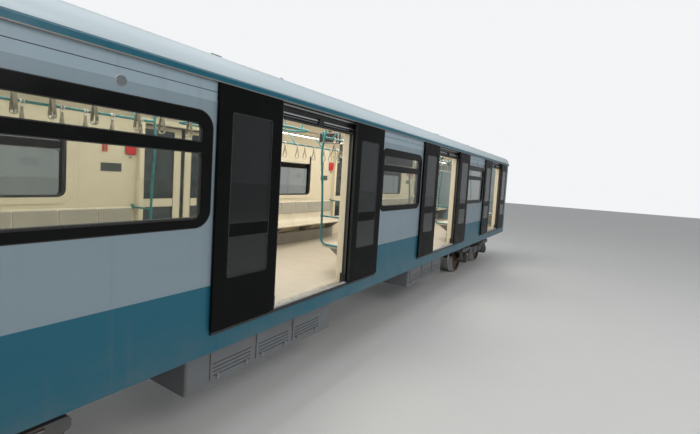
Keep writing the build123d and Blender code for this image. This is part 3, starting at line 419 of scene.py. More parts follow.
# The finish of every CAD node that stays in view
carriedOver = {
    "floor_deck": "floorCover", "door_sills": "sillMetal", "underframe": "underPaint",
    "centre_pins": "castIron", "draft_brackets": "underPaint", "sole_panels": "bodyPaint",
    "side_wall_right": "bodyPaint", "side_wall_left": "bodyPaint", "cantrails": "bodyPaint",
    "roof": "roofPaint", "end_walls": "endPaint", "window_surrounds": "bandBlack",
    "window_panes": "clearGlass", "cantrail_strips": "stripPaint", "door_tracks": "trackSteel",
    "ac_units": "acPaint", "gangway_frames": "frameMetal", "bench_supports": "heaterSteel",
    "ceiling": "ceilingLining", "light_strips": "lampLens", "displays": "ledMatrix",
    "air_tanks": "tankPaint", "converter_cases": "casePaint", "service_cases": "casePaint",
}
for letter, end in endNames.items():
    carriedOver.update({f"bogie_frame_{letter}": "bogiePaint", f"suspension_{letter}": "springRubber",
                        f"axle_boxes_{letter}": "castIron", f"drives_{letter}": "casePaint",
                        f"brakes_{letter}": "castIron", f"drawbar_{letter}": "underPaint"})
    for number, hand in ((1, -1), (2, 1)):
        steel = f"wheelSteel{letter}{number}"
        wheelSteel(steel, end * bogie["centre"] + hand * bogie["wheelBase"] / 2)
        carriedOver[f"wheelset_{letter}{number}"] = steel
for name, finish in carriedOver.items():
    nodes[name].data.materials.clear()
    nodes[name].data.materials.append(finishes[finish])

# Mesh helpers; places are in metres in the car's frame, and sign picks the side or the end


def newMeshes(count):
    return [bmesh.new() for _ in range(count)]


def around(middle, half):
    return (middle - half, middle + half)


def addBlock(bm, xs, ys, zs, sign=1):
    spans = (xs, [sign * y for y in ys], zs)
    size = [abs(high - low) for low, high in spans]
    middle = [(low + high) / 2 for low, high in spans]
    matrix = Matrix.Translation(middle) @ Matrix.Diagonal((*size, 1))
    bmesh.ops.create_cube(bm, size=1, matrix=matrix)


def skin(bm, rings, closed=False, caps=True):
    count = len(rings[0])
    pairs = list(zip(rings, rings[1:])) + ([(rings[-1], rings[0])] if closed else [])
    for (first, second), i in product(pairs, range(count)):
        corners = [first[i], first[(i + 1) % count], second[(i + 1) % count], second[i]]
        corners = [v for n, v in enumerate(corners) if v not in corners[:n]]
        if len(corners) > 2:
            bm.faces.new(corners)
    if caps and not closed:
        for ring in (rings[0], rings[-1]):
            if len(set(ring)) > 2:
                bm.faces.new(ring)


def circle(middle, axis, radius, count, start=0.0):
    side = axis.orthogonal().normalized()
    other = axis.cross(side)
    turns = [start + math.tau * i / count for i in range(count)]
    return [Vector(middle) + radius * (math.cos(t) * side + math.sin(t) * other) for t in turns]


def addLathe(bm, profile, origin, axis, sides=32):
    axis = Vector(axis).normalized()
    rings = []
    for radius, along in profile:
        middle = Vector(origin) + axis * along
        if radius < 1e-6:
            rings.append([bm.verts.new(middle)] * sides)
        else:
            rings.append([bm.verts.new(spot) for spot in circle(middle, axis, radius, sides)])
    skin(bm, rings)


def addDrum(bm, start, end, radius, sides=24):
    axis = Vector(end) - Vector(start)
    addLathe(bm, [(radius, 0), (radius, axis.length)], start, axis, sides)


def addCollar(bm, place, axis, inner, outer, half, sides=18, slope=0.004):
    addLathe(bm, [(inner, -half), (outer, slope - half), (outer, half - slope), (inner, half)], place, axis,
             sides)


def addFlange(bm, place, axis, radius, rise=0.008):
    addLathe(bm, [(radius, 0), (radius, rise * 0.6), (radius * 0.88, rise), (0, rise)], place, axis, 20)


def addBolt(bm, place, axis, size, rise):
    addLathe(bm, [(size * 1.25, 0), (size * 1.25, rise * 0.25), (size, rise * 0.25), (size, rise * 0.9),
                  (size * 0.85, rise)], place, axis, 12)


def addBoltRing(bm, middle, axis, radius, count, size, rise, turn=0.0):
    for place in circle(middle, Vector(axis).normalized(), radius, count, turn):
        addBolt(bm, place, axis, size, rise)


def addBoltRect(bm, middle, halves, axis, size, rise):
    x, y, z = middle
    for dx, dy in product(around(0, halves[0]), around(0, halves[1])):
        addBolt(bm, (x + dx, y + dy, z), axis, size, rise)


def smoothPath(points, steps=8):
    spots = [Vector(p) for p in points]
    ends = [spots[0] * 2 - spots[1]] + spots + [spots[-1] * 2 - spots[-2]]
    path = []
    for a, b, c, d in zip(ends, ends[1:], ends[2:], ends[3:]):
        for t in (i / steps for i in range(steps)):
            path.append(0.5 * ((2 * b) + (c - a) * t + (2 * a - 5 * b + 4 * c - d) * t * t
                               + (3 * b - a - 3 * c + d) * t ** 3))
    return path + [spots[-1]]


def bentPath(points, radius, steps=8):
    spots = [Vector(p) for p in points]
    path = [spots[0]]
    for before, corner, after in zip(spots, spots[1:], spots[2:]):
        inward, outward = (before - corner).normalized(), (after - corner).normalized()
        reach = radius / math.tan(inward.angle(outward) / 2)
        start, end = corner + inward * reach, corner + outward * reach
        for t in (i / steps for i in range(steps + 1)):
            path.append(start * (1 - t) ** 2 + corner * 2 * t * (1 - t) + end * t * t)
    return path + [spots[-1]]


def addTube(bm, path, radius, sides=14, closed=False):
    spots = [Vector(p) for p in path]
    count = len(spots)
    rings = []
    normal = None
    for i, spot in enumerate(spots):
        before = spots[i - 1] if i or closed else spot
        after = spots[(i + 1) % count] if i < count - 1 or closed else spot
        along = (after - before).normalized()
        normal = along.orthogonal() if normal is None else normal - along * normal.dot(along)
        normal.normalize()
        other = along.cross(normal)
        rings.append([bm.verts.new(spot + radius * (math.cos(t) * normal + math.sin(t) * other))
                      for t in (math.tau * k / sides for k in range(sides))])
    skin(bm, rings, closed)


def addHoop(bm, middle, radius, wire, count, sides):
    x, y, z = middle
    turns = [math.tau * k / count for k in range(count)]
    addTube(bm, [(x + radius * math.cos(t), y + radius * math.sin(t), z) for t in turns], wire, sides,
            closed=True)


def addStaple(bm, feet, tops, bend, radius, sides):
    addTube(bm, bentPath([feet[0], *tops, feet[1]], bend), radius, sides)


def roundedOutline(middle, size, radius, steps=8):
    points = []
    for quarter, (signU, signV) in enumerate(((1, 1), (-1, 1), (-1, -1), (1, -1))):
        cornerU = middle[0] + signU * (size[0] / 2 - radius)
        cornerV = middle[1] + signV * (size[1] / 2 - radius)
        for i in range(steps + 1):
            turn = math.radians(90 * quarter + 90 * i / steps)
            points.append((cornerU + radius * math.cos(turn), cornerV + radius * math.sin(turn)))
    return points


def layLoop(bm, outline, depth, axis):
    places = {"X": lambda u, v: (depth, u, v), "Y": lambda u, v: (u, depth, v),
              "Z": lambda u, v: (u, v, depth)}
    return [bm.verts.new(places[axis](u, v)) for u, v in outline]


def addSlab(bm, outline, depths, axis="Y", sign=1):
    skin(bm, [layLoop(bm, outline, sign * depth, axis) for depth in depths])


def addFrame(bm, outer, inner, depths, axis="Y", sign=1):
    low, high = depths
    skin(bm, [layLoop(bm, outline, sign * depth, axis) for outline, depth in
              ((outer, low), (outer, high), (inner, high), (inner, low))], closed=True)


def addRim(bm, middle, size, outer, inner, depths, axis="Y", sign=1, steps=4):
    loops = [roundedOutline(middle, [length + grow for length in size], radius, steps)
             for grow, radius in (outer, inner)]
    addFrame(bm, *loops, depths, axis, sign)


def addPiece(name, bm, finish, bevel=0.0, body="car_body", replaced=(), angle=35, segments=2):
    bmesh.ops.recalc_face_normals(bm, faces=bm.faces[:])
    mesh = bpy.data.meshes.new(name)
    bm.to_mesh(mesh)
    bm.free()
    mesh.polygons.foreach_set("use_smooth", [True] * len(mesh.polygons))
    mesh.set_sharp_from_angle(angle=math.radians(angle))
    mesh.materials.append(finishes[finish])
    piece = bpy.data.objects.new(name, mesh)
    scene.collection.objects.link(piece)
    if bevel:
        edges = piece.modifiers.new("edges", "BEVEL")
        edges.width = bevel
        edges.segments = segments
        edges.limit_method = "ANGLE"
        edges.angle_limit = math.radians(40)
    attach(piece, body)
    if replaced:
        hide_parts(*replaced)


# Car body sizes that several pieces share
car = {"endX": 9.0, "sideY": 1.325, "innerY": 1.245, "saloonHalf": 8.94, "floor": 1.158,
       "doorCentres": (-7.08, -2.36, 2.36, 7.08), "doorway": 1.4, "doorTop": 3.158,
       "bayCentres": (-4.72, 0.0, 4.72), "ceiling": 3.345, "benchLength": 3.04, "endBench": 1.0,
       "benchGap": 0.02}

# Door leaves; near and far are the leaf's inner and outer face
leaf = {"width": 0.8, "low": 1.140, "high": 3.318, "near": 1.331, "far": 1.365, "edge": 0.003,
        "travel": 0.724, "cornerRadius": 0.010, "nosing": 0.014, "nosingFlange": 0.016,
        "nosingEnds": 0.004, "nosingSteps": ((0.0, 0.034, 0.004), (0.008, 0.026, 0.0)),
        "windowWidth": 0.50, "windowLow": 1.60, "windowHigh": 3.09, "windowRadius": 0.022,
        "bar": (1.970, 2.100), "paneThickness": 0.006, "paneInset": 0.0015, "gasket": 0.010,
        "hangerInset": 0.12, "hangerZ": (3.238, 3.286), "hangerHalf": 0.055, "hangerFace": (1.300, 1.308),
        "rollerY": 1.284, "rollerRadius": 0.018, "rollerX": 0.032, "groove": 0.013,
        "hangerBolt": (0.008, 0.006)}


def addLeaf(sideName, sign, number, letter, hand):
    centre = car["doorCentres"][number - 1]
    shift = leaf["edge"] + (leaf["travel"] if sideName == "right" else 0)
    closing, trailing = centre + hand * shift, centre + hand * (shift + leaf["width"])
    middle, nose = (closing + trailing) / 2, closing + hand * leaf["nosing"]
    near, far = leaf["near"], leaf["far"]
    body, node = (f"{kind}_{sideName}_{number}{letter}" for kind in ("door", "leaf"))
    tag = f"{sideName.capitalize()}{number}{letter}"
    low, high, ends = leaf["low"], leaf["high"], leaf["nosingEnds"]
    opening = (leaf["windowWidth"], leaf["windowHigh"] - leaf["windowLow"])
    half, radius = opening[0] / 2, leaf["windowRadius"]
    windowMiddle = (middle, (leaf["windowHigh"] + leaf["windowLow"]) / 2)
    panel, pane, rubber, hanger = newMeshes(4)
    outer = roundedOutline(((nose + trailing) / 2, (high + low) / 2), (abs(trailing - nose), high - low),
                           leaf["cornerRadius"])
    addFrame(panel, outer, roundedOutline(windowMiddle, opening, radius), (near, far), sign=sign)
    addBlock(panel, around(middle, half + 0.006), (near + 0.0003, far - 0.0003), leaf["bar"], sign)
    for face, into in ((near, 1), (far, -1)):
        start = face + into * leaf["paneInset"]
        addSlab(pane, roundedOutline(windowMiddle, [size + 0.002 for size in opening], radius),
                (start, start + into * leaf["paneThickness"]), sign=sign)
    width = leaf["gasket"]
    for depths in ((near - 0.0004, near + 0.0012), (far - 0.0012, far + 0.0004)):
        addRim(rubber, windowMiddle, opening, (width, radius + width / 2), (-width, radius - width / 2),
               depths, sign=sign, steps=8)
    for z, face in product(leaf["bar"], (near, far)):
        addBlock(rubber, around(middle, half), around(face, 0.0003), around(z, width / 2), sign)
    for depthLow, depthHigh, inset in leaf["nosingSteps"]:
        addBlock(rubber, (closing + hand * inset, nose), (near + depthLow, near + depthHigh),
                 (low + ends, high - ends), sign)
    addBlock(rubber, (nose, nose + hand * leaf["nosingFlange"]), (near - 0.0004, near + 0.001),
             (low + ends, high - ends), sign)
    low, high = leaf["hangerZ"]
    back, front = leaf["hangerFace"]
    for step in both:
        x, half = middle + step * (leaf["width"] / 2 - leaf["hangerInset"]), leaf["hangerHalf"]
        addBlock(hanger, around(x, half), (back, near + 0.002), (low, low + 0.010), sign)
        addBlock(hanger, around(x, half), (back, front), (low, high), sign)
        for offset in around(0, leaf["rollerX"]):
            radius, groove = leaf["rollerRadius"], leaf["groove"]
            addLathe(hanger, [(0, 0), (radius, 0), (radius, 0.005), (groove, 0.006), (groove, 0.010),
                              (radius, 0.011), (radius, 0.016), (0, 0.016)],
                     (x + offset, sign * leaf["rollerY"], (low + high) / 2), (0, sign, 0), 20)
            addBolt(hanger, (x + offset, sign * front, (low + high) / 2), (0, sign, 0), *leaf["hangerBolt"])
    addPiece("doorLeaf" + tag, panel, "leafPaint", 0.003, body, (node,))
    addPiece("doorPane" + tag, pane, "leafGlass", 0.0, body, (node,))
    addPiece("doorRubber" + tag, rubber, "sealRubber", 0.0015, body)
    addPiece("doorHanger" + tag, hanger, "boltSteel", 0.001, body)


for side, number, door in product(sideNames.items(), (1, 2, 3, 4), endNames.items()):
    addLeaf(*side, number, *door)
print("door leaves made: 16")

# Side windows; every opening is its width, low and high edge and corner radius
window = {"band": (1.610, 2.078, 3.063, 0.150), "clear": (1.416, 2.148, 2.958), "bar": (2.713, 2.796),
          "paneRadii": (0.06, 0.03), "hole": (1.560, 2.103, 3.038, 0.125), "sealWidth": 0.010,
          "paneFace": 1.313, "liningWidth": 0.045, "liningRise": 0.010, "liningLip": 0.034,
          "frameReach": 0.062, "frameDepth": 0.048}


def windowOutline(x, size, grow=0.0):
    width, low, high, radius = size
    return roundedOutline((x, (low + high) / 2), (width + 2 * grow, high - low + 2 * grow),
                          max(0.005, radius + grow), 10)


def addWindowFrame(bm, x, size, grows, depths, sign):
    addFrame(bm, *(windowOutline(x, size, grow) for grow in grows), depths, sign=sign)


def addWindowTrim(sideName, sign, number, x):
    tag = f"{sideName.capitalize()}{number}"
    seals, lining, frames = newMeshes(3)
    face, inner, lip = car["sideY"], car["innerY"], window["liningLip"]
    addWindowFrame(seals, x, window["band"], (0.003, -0.004), (face - 0.004, face + 0.0015), sign)
    clearWidth, clearLow, clearHigh = window["clear"]
    barLow, barHigh = window["bar"]
    panes = ((clearLow, barLow), (barHigh, clearHigh))
    for (low, high), radius in zip(panes, window["paneRadii"]):
        addWindowFrame(seals, x, (clearWidth, low, high, radius), (0, -window["sealWidth"]),
                       (window["paneFace"] - 0.001, window["paneFace"] + 0.006), sign)
    addWindowFrame(lining, x, window["hole"], (window["liningWidth"], -lip),
                   (inner - window["liningRise"], inner + 0.002), sign)
    addWindowFrame(frames, x, window["hole"], (-lip, -window["frameReach"]),
                   (inner + 0.002, inner + window["frameDepth"]), sign)
    addPiece("windowSeal" + tag, seals, "sealRubber", 0.001)
    addPiece("windowLining" + tag, lining, "creamPanel", 0.004, segments=3)
    addPiece("windowInnerFrame" + tag, frames, "sealRubber", 0.004)


for side, place in product(sideNames.items(), enumerate(car["bayCentres"], 1)):
    addWindowTrim(*side, *place)
print("window trim made: 6")

# Grab poles, overhead rails, rings and straps
pole = {"radius": 0.016, "y": 0.788, "footZ": 1.590, "offset": 0.028, "rungZ": 2.0, "rungRadius": 0.0135,
        "legY": 0.014, "legTop": 1.9, "legBend": 0.11, "rungY": 0.010, "collar": (0.019, 0.021, 0.022),
        "wallFlange": 0.034, "topFlange": 0.038,
        "curve": ((0.014, 1.72), (0.010, 2.05), (-0.012, 2.45), (-0.045, 2.80), (-0.048, 2.96),
                  (-0.020, 3.12), (0.006, 3.24), (0.010, 3.345))}
rail = {"y": 0.720, "z": 3.135, "radius": 0.0155, "endRise": 0.075, "hangers": 4, "hangerPitch": 0.85,
        "hangerTop": (0.885, 3.331), "hangerRadius": 0.012, "bend": 0.05,
        "collar": (0.019, 0.021, 0.020), "flange": (0.028, 0.006)}
strap = {"count": 10, "pitch": 0.285, "clear": 0.035, "moved": 0.06, "width": 0.026, "thickness": 0.003,
         "drop": 0.255, "spread": 0.054, "neck": 0.090, "points": 40, "stemHalf": 0.004,
         "clip": (0.015, 0.010), "clipTop": 0.018, "clipDrop": 0.052, "clipCollar": (0.018, 0.024, 0.020),
         "gripRise": 0.030, "gripRadius": 0.0085}
ring = {"y": 0.600, "z": 3.175, "length": 1.04, "width": 0.30, "radius": 0.0135, "corner": 0.11,
        "hangerInset": 0.2, "hangerRadius": 0.011, "flange": (0.026, 0.006)}


def benchRows():
    rows = [(x, car["benchLength"]) for x in car["bayCentres"]]
    reach = car["saloonHalf"] - car["benchGap"] - car["endBench"] / 2
    return rows + [(end * reach, car["endBench"]) for end in both]


def addPoles():
    poles, fittings = newMeshes(2)
    wall, y, foot, rung = car["innerY"], pole["y"], pole["footZ"], pole["rungZ"]
    for sign, (centre, length), hand in product(both, benchRows(), both):
        x = centre + hand * (length / 2 + pole["offset"])
        if abs(x) > car["saloonHalf"] - car["benchGap"]:
            continue
        legY, rungY = sign * (y + pole["legY"]), sign * (y + pole["rungY"])
        leg = bentPath([(x, sign * wall, foot), (x, legY, foot), (x, legY, pole["legTop"])], pole["legBend"])
        upper = smoothPath([(x, sign * (y + dy), z) for dy, z in pole["curve"]])
        addTube(poles, leg[:-1] + upper[1:], pole["radius"])
        addDrum(poles, (x, rungY, rung), (x, sign * wall, rung), pole["rungRadius"], 14)
        addCollar(fittings, (x, rungY, rung), (0, 0, 1), *pole["collar"])
        for z in (foot, rung):
            addFlange(fittings, (x, sign * wall, z), (0, -sign, 0), pole["wallFlange"])
        addFlange(fittings, (x, rungY, car["ceiling"]), (0, 0, -1), pole["topFlange"])
    addPiece("grabPoles", poles, "poleTeal", replaced=("grab_poles",))
    addPiece("poleFittings", fittings, "poleTeal")


def addRails():
    rails, fittings = newMeshes(2)
    half, z, (topY, topZ) = car["benchLength"] / 2, rail["z"], rail["hangerTop"]
    for sign, centre in product(both, car["bayCentres"]):
        y = sign * rail["y"]
        ends, low = ([(x, y, z + rise) for x in around(centre, half)] for rise in (rail["endRise"], 0))
        addStaple(rails, ends, low, rail["bend"], rail["radius"], 14)
        for index in range(rail["hangers"]):
            x = centre + (index - 1.5) * rail["hangerPitch"]
            addTube(rails, [(x, y, z), (x, sign * topY, topZ)], rail["hangerRadius"], 12)
            addCollar(fittings, (x, y, z), (1, 0, 0), *rail["collar"])
            addFlange(fittings, (x, sign * topY, topZ), (0, 0, -1), *rail["flange"])
    for sign, centre in product(both, car["doorCentres"]):
        outline = roundedOutline((centre, sign * ring["y"]), (ring["length"], ring["width"]), ring["corner"])
        addTube(rails, [(u, v, ring["z"]) for u, v in outline], ring["radius"], 14, closed=True)
        for stepX, stepY in product(both, both):
            x = centre + stepX * (ring["length"] / 2 - ring["hangerInset"])
            y = sign * ring["y"] + stepY * ring["width"] / 2
            addDrum(rails, (x, y, ring["z"]), (x, y, car["ceiling"]), ring["hangerRadius"], 12)
            addFlange(fittings, (x, y, car["ceiling"]), (0, 0, -1), *ring["flange"])
    addPiece("overheadRails", rails, "poleTeal", replaced=("overhead_rails",))
    addPiece("railFittings", fittings, "poleTeal")


def addBand(bm, path, x, width, thickness):
    rings = []
    for i, (y, z) in enumerate(path):
        before, after = path[i - 1], path[(i + 1) % len(path)]
        along = Vector((after[0] - before[0], after[1] - before[1])).normalized()
        outY, outZ = along[1] * thickness / 2, -along[0] * thickness / 2
        rings.append([bm.verts.new((x + dx, y + k * outY, z + k * outZ))
                      for dx, k in ((-width / 2, -1), (width / 2, -1), (width / 2, 1), (-width / 2, 1))])
    skin(bm, rings, closed=True)


def strapShape():
    drop, neck, points = strap["drop"], strap["neck"], strap["points"]
    shape = []
    for turn in (math.tau * i / points for i in range(points)):
        height = (1 - math.cos(turn)) / 2
        across = math.copysign(abs(math.sin(turn)) ** 0.4, math.sin(turn))
        shape.append((strap["spread"] * across * (0.08 + 0.92 * (1 - height)),
                      -drop + (drop - neck) * height))
    return shape


def addStraps():
    bands, clips, collars = newMeshes(3)
    half, clipDrop = strap["width"] / 2, strap["clipDrop"]
    shape, z = strapShape(), rail["z"]
    for sign, centre, index in product(both, car["bayCentres"], range(strap["count"])):
        x, y = centre + (index - 4.5) * strap["pitch"], sign * rail["y"]
        hangers = [(k - 1.5) * rail["hangerPitch"] for k in range(rail["hangers"])]
        if min(abs(x - centre - place) for place in hangers) < strap["clear"]:
            x += strap["moved"]
        addBand(bands, [(y + dy, z + dz) for dy, dz in shape], x, strap["width"], strap["thickness"])
        addCollar(clips, (x, y, z), (1, 0, 0), *strap["clipCollar"], 20)
        clipX, clipY = strap["clip"]
        addBlock(clips, around(x, clipX), around(y, clipY), (z - clipDrop, z - strap["clipTop"]))
        addBlock(bands, around(x, half), around(y, strap["stemHalf"]),
                 (z - strap["neck"] - 0.006, z - clipDrop + 0.002))
        addLathe(collars, [(0.018, -0.009), (0.0255, -0.009), (0.0265, -0.005), (0.0265, 0.005),
                           (0.0255, 0.009), (0.018, 0.009)], (x, y, z), (1, 0, 0), 20)
        low = sorted((y + dy, z + dz) for dy, dz in shape if dz < strap["gripRise"] - strap["drop"])
        addTube(clips, [(x, *spot) for spot in low], strap["gripRadius"], 12)
    addPiece("strapBands", bands, "webbing", 0.0006)
    addPiece("strapClips", clips, "paleClip", 0.002)
    addPiece("strapCollars", collars, "greyPlastic")


addPoles()
addRails()
addStraps()
print("poles, rails and straps made")

# Seats; the padded panels are on the back wall above them
seat = {"pitch": 0.434, "top": 1.590, "front": 0.795, "wall": 1.245, "backTop": 2.003, "dip": 0.012,
        "steps": 8, "padFace": 0.046, "padLow": 1.755, "padHigh": 1.990, "padRise": 0.014,
        "padGap": 0.010, "padEdge": 0.012, "padRadius": 0.018}


def seatProfile(dish):
    wall, front, top, back = seat["wall"], seat["front"], seat["top"], seat["backTop"]
    dip = seat["dip"] * dish
    return [(wall - 0.001, 1.470), (wall - 0.001, back), (wall - 0.030, back), (wall - 0.042, back - 0.010),
            (wall - 0.046, back - 0.030), (wall - 0.052 + dip * 0.6, 1.85),
            (wall - 0.058 + dip * 0.8, 1.74), (wall - 0.068 + dip * 0.4, 1.655),
            (wall - 0.082, 1.622 - dip * 0.5), (wall - 0.110, top + 0.010 - dip),
            (wall - 0.17, top - dip * 1.1), (wall - 0.27, top - dip), (wall - 0.36, top - dip * 0.5),
            (front + 0.030, top - 0.001), (front + 0.012, top - 0.005), (front + 0.002, top - 0.016),
            (front, top - 0.028), (front + 0.003, top - 0.040), (front + 0.014, top - 0.045),
            (wall - 0.090, top - 0.045)]


def addSeats():
    shells, pads = newMeshes(2)
    steps, face, edge = seat["steps"], seat["wall"] - seat["padFace"], seat["padEdge"]
    level = (seat["padHigh"] + seat["padLow"]) / 2
    for sign, (centre, length) in product(both, benchRows()):
        seats = max(2, round(length / seat["pitch"]))
        pitch = length / seats
        rings = []
        for i in range(seats * steps + 1):
            x = centre - length / 2 + i * pitch / steps
            dish = math.sin(math.pi * (i % steps) / steps) ** 0.6 if i % steps else 0.0
            rings.append([shells.verts.new((x, sign * y, z)) for y, z in seatProfile(dish)])
        skin(shells, rings)
        for i in range(seats):
            middle = (centre - length / 2 + (i + 0.5) * pitch, level)
            size = (pitch - seat["padGap"], seat["padHigh"] - seat["padLow"])
            outline = roundedOutline(middle, size, seat["padRadius"], 4)
            smaller = roundedOutline(middle, [s - edge for s in size], edge, 4)
            loops = ((outline, face + 0.020), (outline, face - 0.008), (smaller, face - seat["padRise"]))
            skin(pads, [layLoop(pads, shape, sign * depth, "Y") for shape, depth in loops])
    addPiece("seatShells", shells, "creamSeat", replaced=("benches",), angle=50)
    addPiece("backPanels", pads, "greyBack", 0.002)


addSeats()
print("seats made")

# Cabin walls and ceiling: red alarm boxes, call boxes, blank plates and grilles
cabin = {"boxOffset": 1.500, "boxSize": (0.13, 0.18), "boxZ": 2.80, "boxRise": 0.03, "buttonDrop": 0.135,
         "callOffset": 0.325, "callSize": (0.062, 0.16), "callRise": 0.012,
         "callParts": ((0.0, 0.36), (0.36, 0.62), (0.62, 1.0)), "plateShift": 0.085,
         "plateDrop": 0.275, "plateSize": (0.26, 0.11), "grilleY": 0.33, "grilleDepth": 0.11,
         "grilleLengths": {"bayCentres": 2.6, "doorCentres": 1.4}, "grilleRim": 0.03, "slats": 5}


def addCabinDetails():
    boxes, frames, labels, plates = newMeshes(4)
    inner, z = car["innerY"], cabin["boxZ"]
    callWidth, callHeight = cabin["callSize"]
    for sign, centre, hand in product(both, car["bayCentres"], both):
        x = centre + hand * cabin["boxOffset"]
        addSlab(boxes, roundedOutline((x, z), cabin["boxSize"], 0.012, 4),
                (inner + 0.001, inner - cabin["boxRise"]), sign=sign)
        addRim(frames, (x, z), cabin["boxSize"], (0.016, 0.016), (0, 0.012), (inner + 0.001, inner - 0.010),
               sign=sign)
        button = z - cabin["buttonDrop"]
        addDrum(frames, (x, sign * (inner - 0.028), button), (x, sign * (inner + 0.001), button), 0.011, 16)
        near = x - hand * cabin["callOffset"]
        for part, shares in zip((boxes, labels, boxes), cabin["callParts"]):
            addBlock(part, [near - callWidth / 2 + callWidth * share for share in shares],
                     (inner + 0.001, inner - cabin["callRise"]), around(z, callHeight / 2), sign)
        addSlab(plates, roundedOutline((near + hand * cabin["plateShift"], z - cabin["plateDrop"]),
                                       cabin["plateSize"], 0.006, 3),
                (inner + 0.0005, inner - 0.003), sign=sign)
    addPiece("callLabels", labels, "webbing")
    addPiece("blankPlates", plates, "plateGrey")
    addPiece("alarmBoxes", boxes, "redGloss", 0.003)
    addPiece("alarmFrames", frames, "greyPlastic", 0.0015)


def addGrilles():
    slats, rims = newMeshes(2)
    top, depth, rim, count = car["ceiling"], cabin["grilleDepth"], cabin["grilleRim"], cabin["slats"]
    places = [(x, cabin["grilleLengths"]["bayCentres"]) for x in car["bayCentres"]]
    places += [(x, cabin["grilleLengths"]["doorCentres"]) for x in car["doorCentres"][1:3]]
    for sign, (centre, length) in product(both, places):
        y = sign * cabin["grilleY"]
        addRim(rims, (centre, y), (length, depth), (0, 0.015), (-rim, 0.006), (top + 0.001, top - 0.008), "Z")
        for i in range(count):
            at = y + (i - (count - 1) / 2) * (depth - rim) / count
            addBlock(slats, around(centre, length / 2 - 0.012), around(at, 0.004), (top - 0.006, top + 0.001))
    addPiece("ceilingRims", rims, "ceilingLining", 0.001)
    addPiece("ceilingSlats", slats, "greyPlastic", 0.001)


speaker = {"radius": 0.036, "rim": 0.004, "z": 3.148, "shift": 0.03}


def addSpeakers():
    discs, rims = newMeshes(2)
    radius, outer = speaker["radius"], speaker["radius"] + speaker["rim"]
    for sign, centre in product(both, car["bayCentres"][::2]):
        place = (centre + speaker["shift"], sign * car["sideY"], speaker["z"])
        addLathe(discs, [(0, -0.001), (radius, -0.001), (radius, 0.001), (0, 0.0018)], place,
                 (0, sign, 0), 40)
        addLathe(rims, [(radius, -0.001), (outer, -0.001), (outer, 0.002), (radius, 0.0025),
                        (radius, -0.001)], place, (0, sign, 0), 40)
    addPiece("speakerDiscs", discs, "speakerGrille")
    addPiece("speakerRims", rims, "frameMetal")


addCabinDetails()
addGrilles()
addSpeakers()
print("cabin details made")

# Doorway trim: seals, metal strips and feet on the posts, and the door gear above
doorway = {"seal": 0.012, "sealY": (1.272, 1.300), "strip": 0.006, "stripY": (1.300, 1.3245),
           "foot": (0.030, 0.11), "footY": (1.256, 1.318), "headSeal": (0.010, 1.318),
           "screwReach": 1.527, "screwY": 1.292, "screwZ": 3.190, "screwRadius": 0.006,
           "bearings": (-1.5, -0.75, 0.0, 0.75, 1.5),
           "gear": ((0.02, (1.2652, 1.303), (3.172, 3.2085)), (0.046, (1.2652, 1.314), (3.1705, 3.2285)),
                    (0.024, (1.274, 1.306), (3.2285, 3.252)))}  # half length, y and z of each block


def addDoorwayTrim():
    seals, metal, feet, strips = newMeshes(4)
    half, low, high = car["doorway"] / 2, car["floor"], car["doorTop"]
    for sign, centre in product(both, car["doorCentres"]):
        for hand in both:
            x = centre + hand * half
            addBlock(seals, (x, x - hand * doorway["seal"]), doorway["sealY"], (low, high), sign)
            addBlock(strips, (x, x - hand * doorway["strip"]), doorway["stripY"], (low, high), sign)
            width, height = doorway["foot"]
            addBlock(feet, (x, x - hand * width), doorway["footY"], (low, low + height), sign)
        depth, outer = doorway["headSeal"]
        addBlock(seals, around(centre, half), (doorway["sealY"][0], outer), (high - depth, high), sign)
        y, z, reach = sign * doorway["screwY"], doorway["screwZ"], doorway["screwReach"]
        addDrum(metal, (centre - reach, y, z), (centre + reach, y, z), doorway["screwRadius"], 12)
        bearing, *motor = doorway["gear"]
        blocks = [(offset, *bearing) for offset in doorway["bearings"]] + [(0, *block) for block in motor]
        for offset, size, ys, zs in blocks:
            addBlock(feet, around(centre + offset, size), ys, zs, sign)
    addPiece("doorwayStrips", strips, "edgeMetal", 0.001)
    addPiece("doorwaySeals", seals, "sealRubber", 0.003)
    addPiece("doorwayMetal", metal, "trackMetal", 0.001)
    addPiece("doorwayFeet", feet, "sealRubber", 0.003)


addDoorwayTrim()
print("doorway trim made")

# Gangway bellows
gangway = {"width": 1.3, "low": 1.158, "high": 3.110, "radius": 0.120, "wall": 0.130, "fold": 0.024,
           "innerFold": 0.014, "folds": 6, "steps": 10, "length": 0.26}


def gangwayRing(bm, x, grow):
    size = (gangway["width"] + 2 * grow, gangway["high"] - gangway["low"] + 2 * grow)
    return layLoop(bm, roundedOutline((0.0, (gangway["low"] + gangway["high"]) / 2), size,
                                      gangway["radius"] + grow, 10), x, "X")


def addBellows():
    bm = bmesh.new()
    count = gangway["folds"] * gangway["steps"]
    for end in both:
        outer, inner = [], []
        for i in range(count + 1):
            dip = 1 - (0.5 - 0.5 * math.cos(math.tau * i / gangway["steps"])) ** 0.7
            x = end * (car["endX"] + gangway["length"] * i / count)
            outer.append(gangwayRing(bm, x, gangway["wall"] - gangway["fold"] * dip))
            inner.append(gangwayRing(bm, x, 0.002 + gangway["innerFold"] * dip))
        skin(bm, outer + inner[::-1], closed=True)
    addPiece("gangwayBellows", bm, "bellowsRubber", replaced=("bellows",), angle=60)


addBellows()
print("gangways made")

# Covers and lamps over the doorways inside, and the edges outside: black strips round the doorway as painted
# shade of the gap by the open leaf, and bright sill edges
cover = {"width": 0.070, "depth": 0.085, "low": 3.158, "high": 3.232, "lampRadius": 0.016,
         "edgeReach": 0.737, "edgeFace": 1.3245, "edgeRise": 0.0009, "postZ": (1.139, 3.1675),
         "headZ": (3.1585, 3.1675), "sillZ": (1.1275, 1.1575)}


